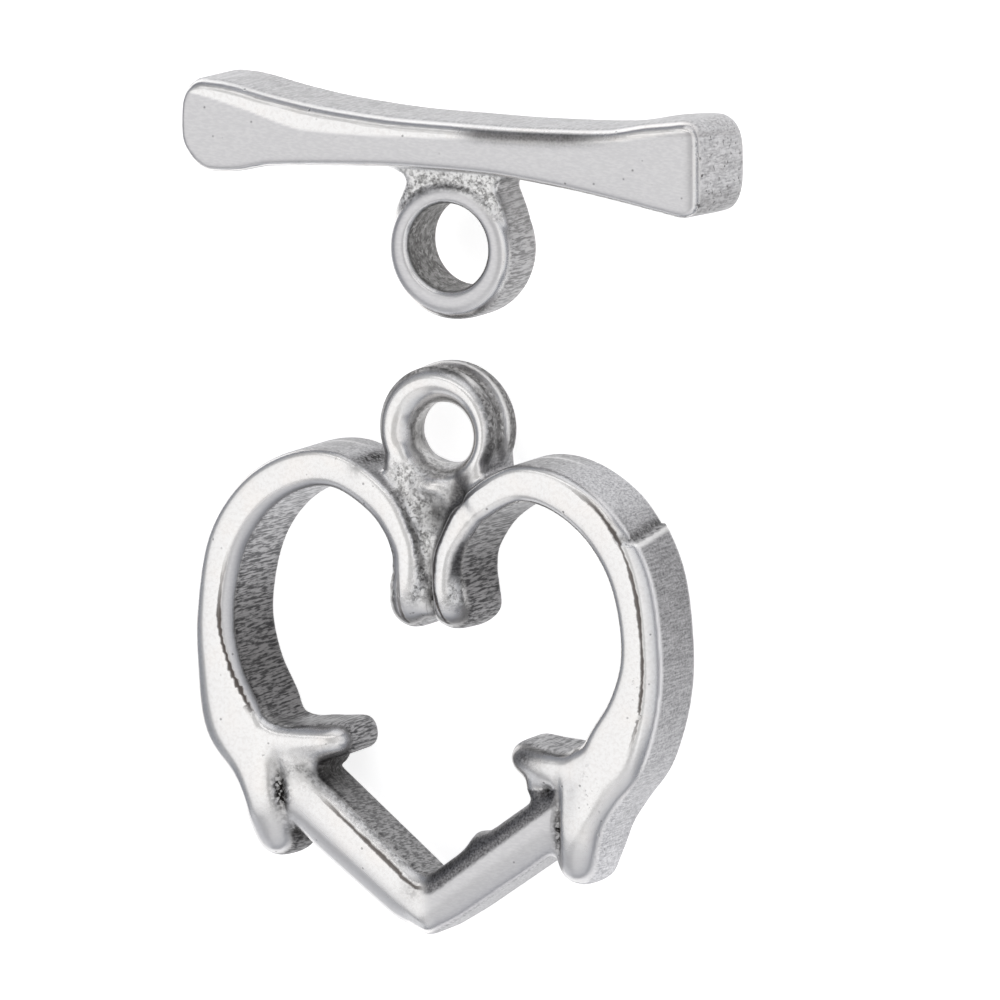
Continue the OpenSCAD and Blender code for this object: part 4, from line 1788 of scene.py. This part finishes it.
@dataclass(frozen=True)
class Studio:
    """Pale floor, soft light and the camera at the photograph's angle."""

    # Angles in degrees, the picture's width and the frame's origin in it, distance in millimetres
    turn: float = 26.2
    rise: float = 9.5
    roll: float = -0.65
    picture_px: float = 1000.0
    pixels_per_mm: float = 27.4
    centre_px: tuple[float, float] = (481.0, 508.5)
    distance: float = 400.0
    sensor: float = 36.0
    floor_half: float = 0.6
    floor_grey: Colour = (0.85, 0.85, 0.85, 1)
    floor_glow: float = 0.7
    # The sky's colours from the nadir up to the zenith
    sky_stops: tuple[tuple[float, Colour], ...] = (
        (0.0, (0.28, 0.29, 0.32, 1)), (0.3, (0.28, 0.295, 0.33, 1)),
        (0.65, (0.48, 0.485, 0.50, 1)), (1.0, (0.70, 0.70, 0.70, 1)),
    )
    softboxes: tuple[Softbox, ...] = (
        Softbox("key", (-0.4355, -0.12, 0.885), 0.5, (0.42, 0.42), 0.50),
        Softbox("fill", (0.76, 0.0, 0.62), 0.6, (0.7, 0.5), 0.45),
        Softbox("top", (0.25, 0.88, 0.42), 0.6, (0.6, 0.35), 0.55),
        Softbox("strip", (-0.05, 0.52, 0.82), 0.5, (0.45, 0.1), 0.8),
        Softbox("low", (-0.62, -0.75, 0.22), 0.6, (0.35, 0.3), 0.5),
        Softbox("near", (0.15, -0.75, 0.6), 0.6, (0.6, 0.5), 0.36),
    )

    def axes(self) -> tuple[Vector, Vector, Vector]:
        """Works out how the camera is turned.

        Returns:
            Its right, up and back directions.
        """
        a, e, r = (math.radians(v) for v in (self.turn, self.rise, self.roll))
        right = Vector((math.cos(a), 0, -math.sin(a)))
        up = Vector((-math.sin(a) * math.sin(e), math.cos(e), -math.cos(a) * math.sin(e)))
        right, up = (math.cos(r) * right - math.sin(r) * up, math.sin(r) * right + math.cos(r) * up)
        return right, up, right.cross(up)

    def camera(self) -> None:
        """Makes the camera."""
        right, up, back = self.axes()
        across = (self.picture_px / 2 - self.centre_px[0]) / self.pixels_per_mm
        down = (self.centre_px[1] - self.picture_px / 2) / self.pixels_per_mm
        aim = right * across + up * down
        data = bpy.data.cameras.new("camera")
        data.sensor_width = self.sensor
        data.lens = self.sensor * self.distance * self.pixels_per_mm / self.picture_px
        data.clip_start, data.clip_end = 0.01, 5
        camera = placed("camera", data)
        turn = Matrix((right, up, back)).transposed().to_4x4()
        camera.matrix_world = Matrix.Translation((aim + back * self.distance) * MM) @ turn
        bpy.context.scene.camera = camera

    def floor(self) -> None:
        """Makes the pale floor."""
        bm = bmesh.new()
        bmesh.ops.create_grid(bm, x_segments=1, y_segments=1, size=self.floor_half)
        mesh = bpy.data.meshes.new("floor")
        bm.to_mesh(mesh)
        bm.free()
        floor = placed("floor", mesh)
        material = bpy.data.materials.new("pale floor")
        material.use_nodes = True
        shader = material.node_tree.nodes["Principled BSDF"]
        shader.inputs["Base Color"].default_value = self.floor_grey
        shader.inputs["Emission Color"].default_value = (1.0, 1.0, 1.0, 1)
        shader.inputs["Emission Strength"].default_value = self.floor_glow
        shader.inputs["Roughness"].default_value = 0.9
        shader.inputs["Specular IOR Level"].default_value = 0.1
        mesh.materials.append(material)

    def sky(self) -> None:
        """Makes the room's light: bright above, greyer towards the horizon."""
        world = bpy.data.worlds.new("studio")
        bpy.context.scene.world = world
        world.use_nodes = True
        tree = world.node_tree
        tree.nodes.clear()
        g = Graph(tree)
        way = g.add("ShaderNodeTexCoord").outputs["Generated"]
        height = g.add("ShaderNodeSeparateXYZ", {0: way}).outputs["Z"]
        ramp = g.add("ShaderNodeValToRGB", {0: height})
        stops = ramp.color_ramp.elements
        for stop, (_, grey) in zip(stops, (self.sky_stops[0], self.sky_stops[-1])):
            stop.color = grey
        for position, grey in self.sky_stops[1:-1]:
            stops.new(position).color = grey
        back = g.add("ShaderNodeBackground", {"Color": ramp.outputs[0], "Strength": 1.0})
        output = g.add("ShaderNodeOutputWorld")
        tree.links.new(back.outputs[0], output.inputs[0])

    def build(self) -> None:
        """Sets up the studio."""
        bpy.context.scene.view_settings.view_transform = "Standard"
        self.camera()
        self.floor()
        self.sky()
        for softbox in self.softboxes:
            softbox.build()


def write_sizes() -> None:
    """Updates the view layer."""
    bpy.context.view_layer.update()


def main() -> None:
    """Builds both castings and the studio."""
    groups = {"streaks": drag_streaks(), "grain": cast_grain(), "specks": fine_specks()}
    for casting, name, node, slot, at in (
        (HeartRing(), "heart_casting", "heart_ring", "cast_steel_ring", HEART_AT),
        (ToggleBar(), "bar_casting", "toggle_bar", "cast_steel_bar", BAR_AT),
    ):
        skin = casting.build()
        piece = place_casting(skin, name, node, at, CastSteel(f"{name} steel").build(groups))
        log.info("%s: %d faces", piece.name, len(piece.data.polygons))
    Studio().build()
    write_sizes()


if __name__ == "__main__":
    logging.basicConfig(level=logging.INFO, format="%(name)s: %(message)s")
    main()
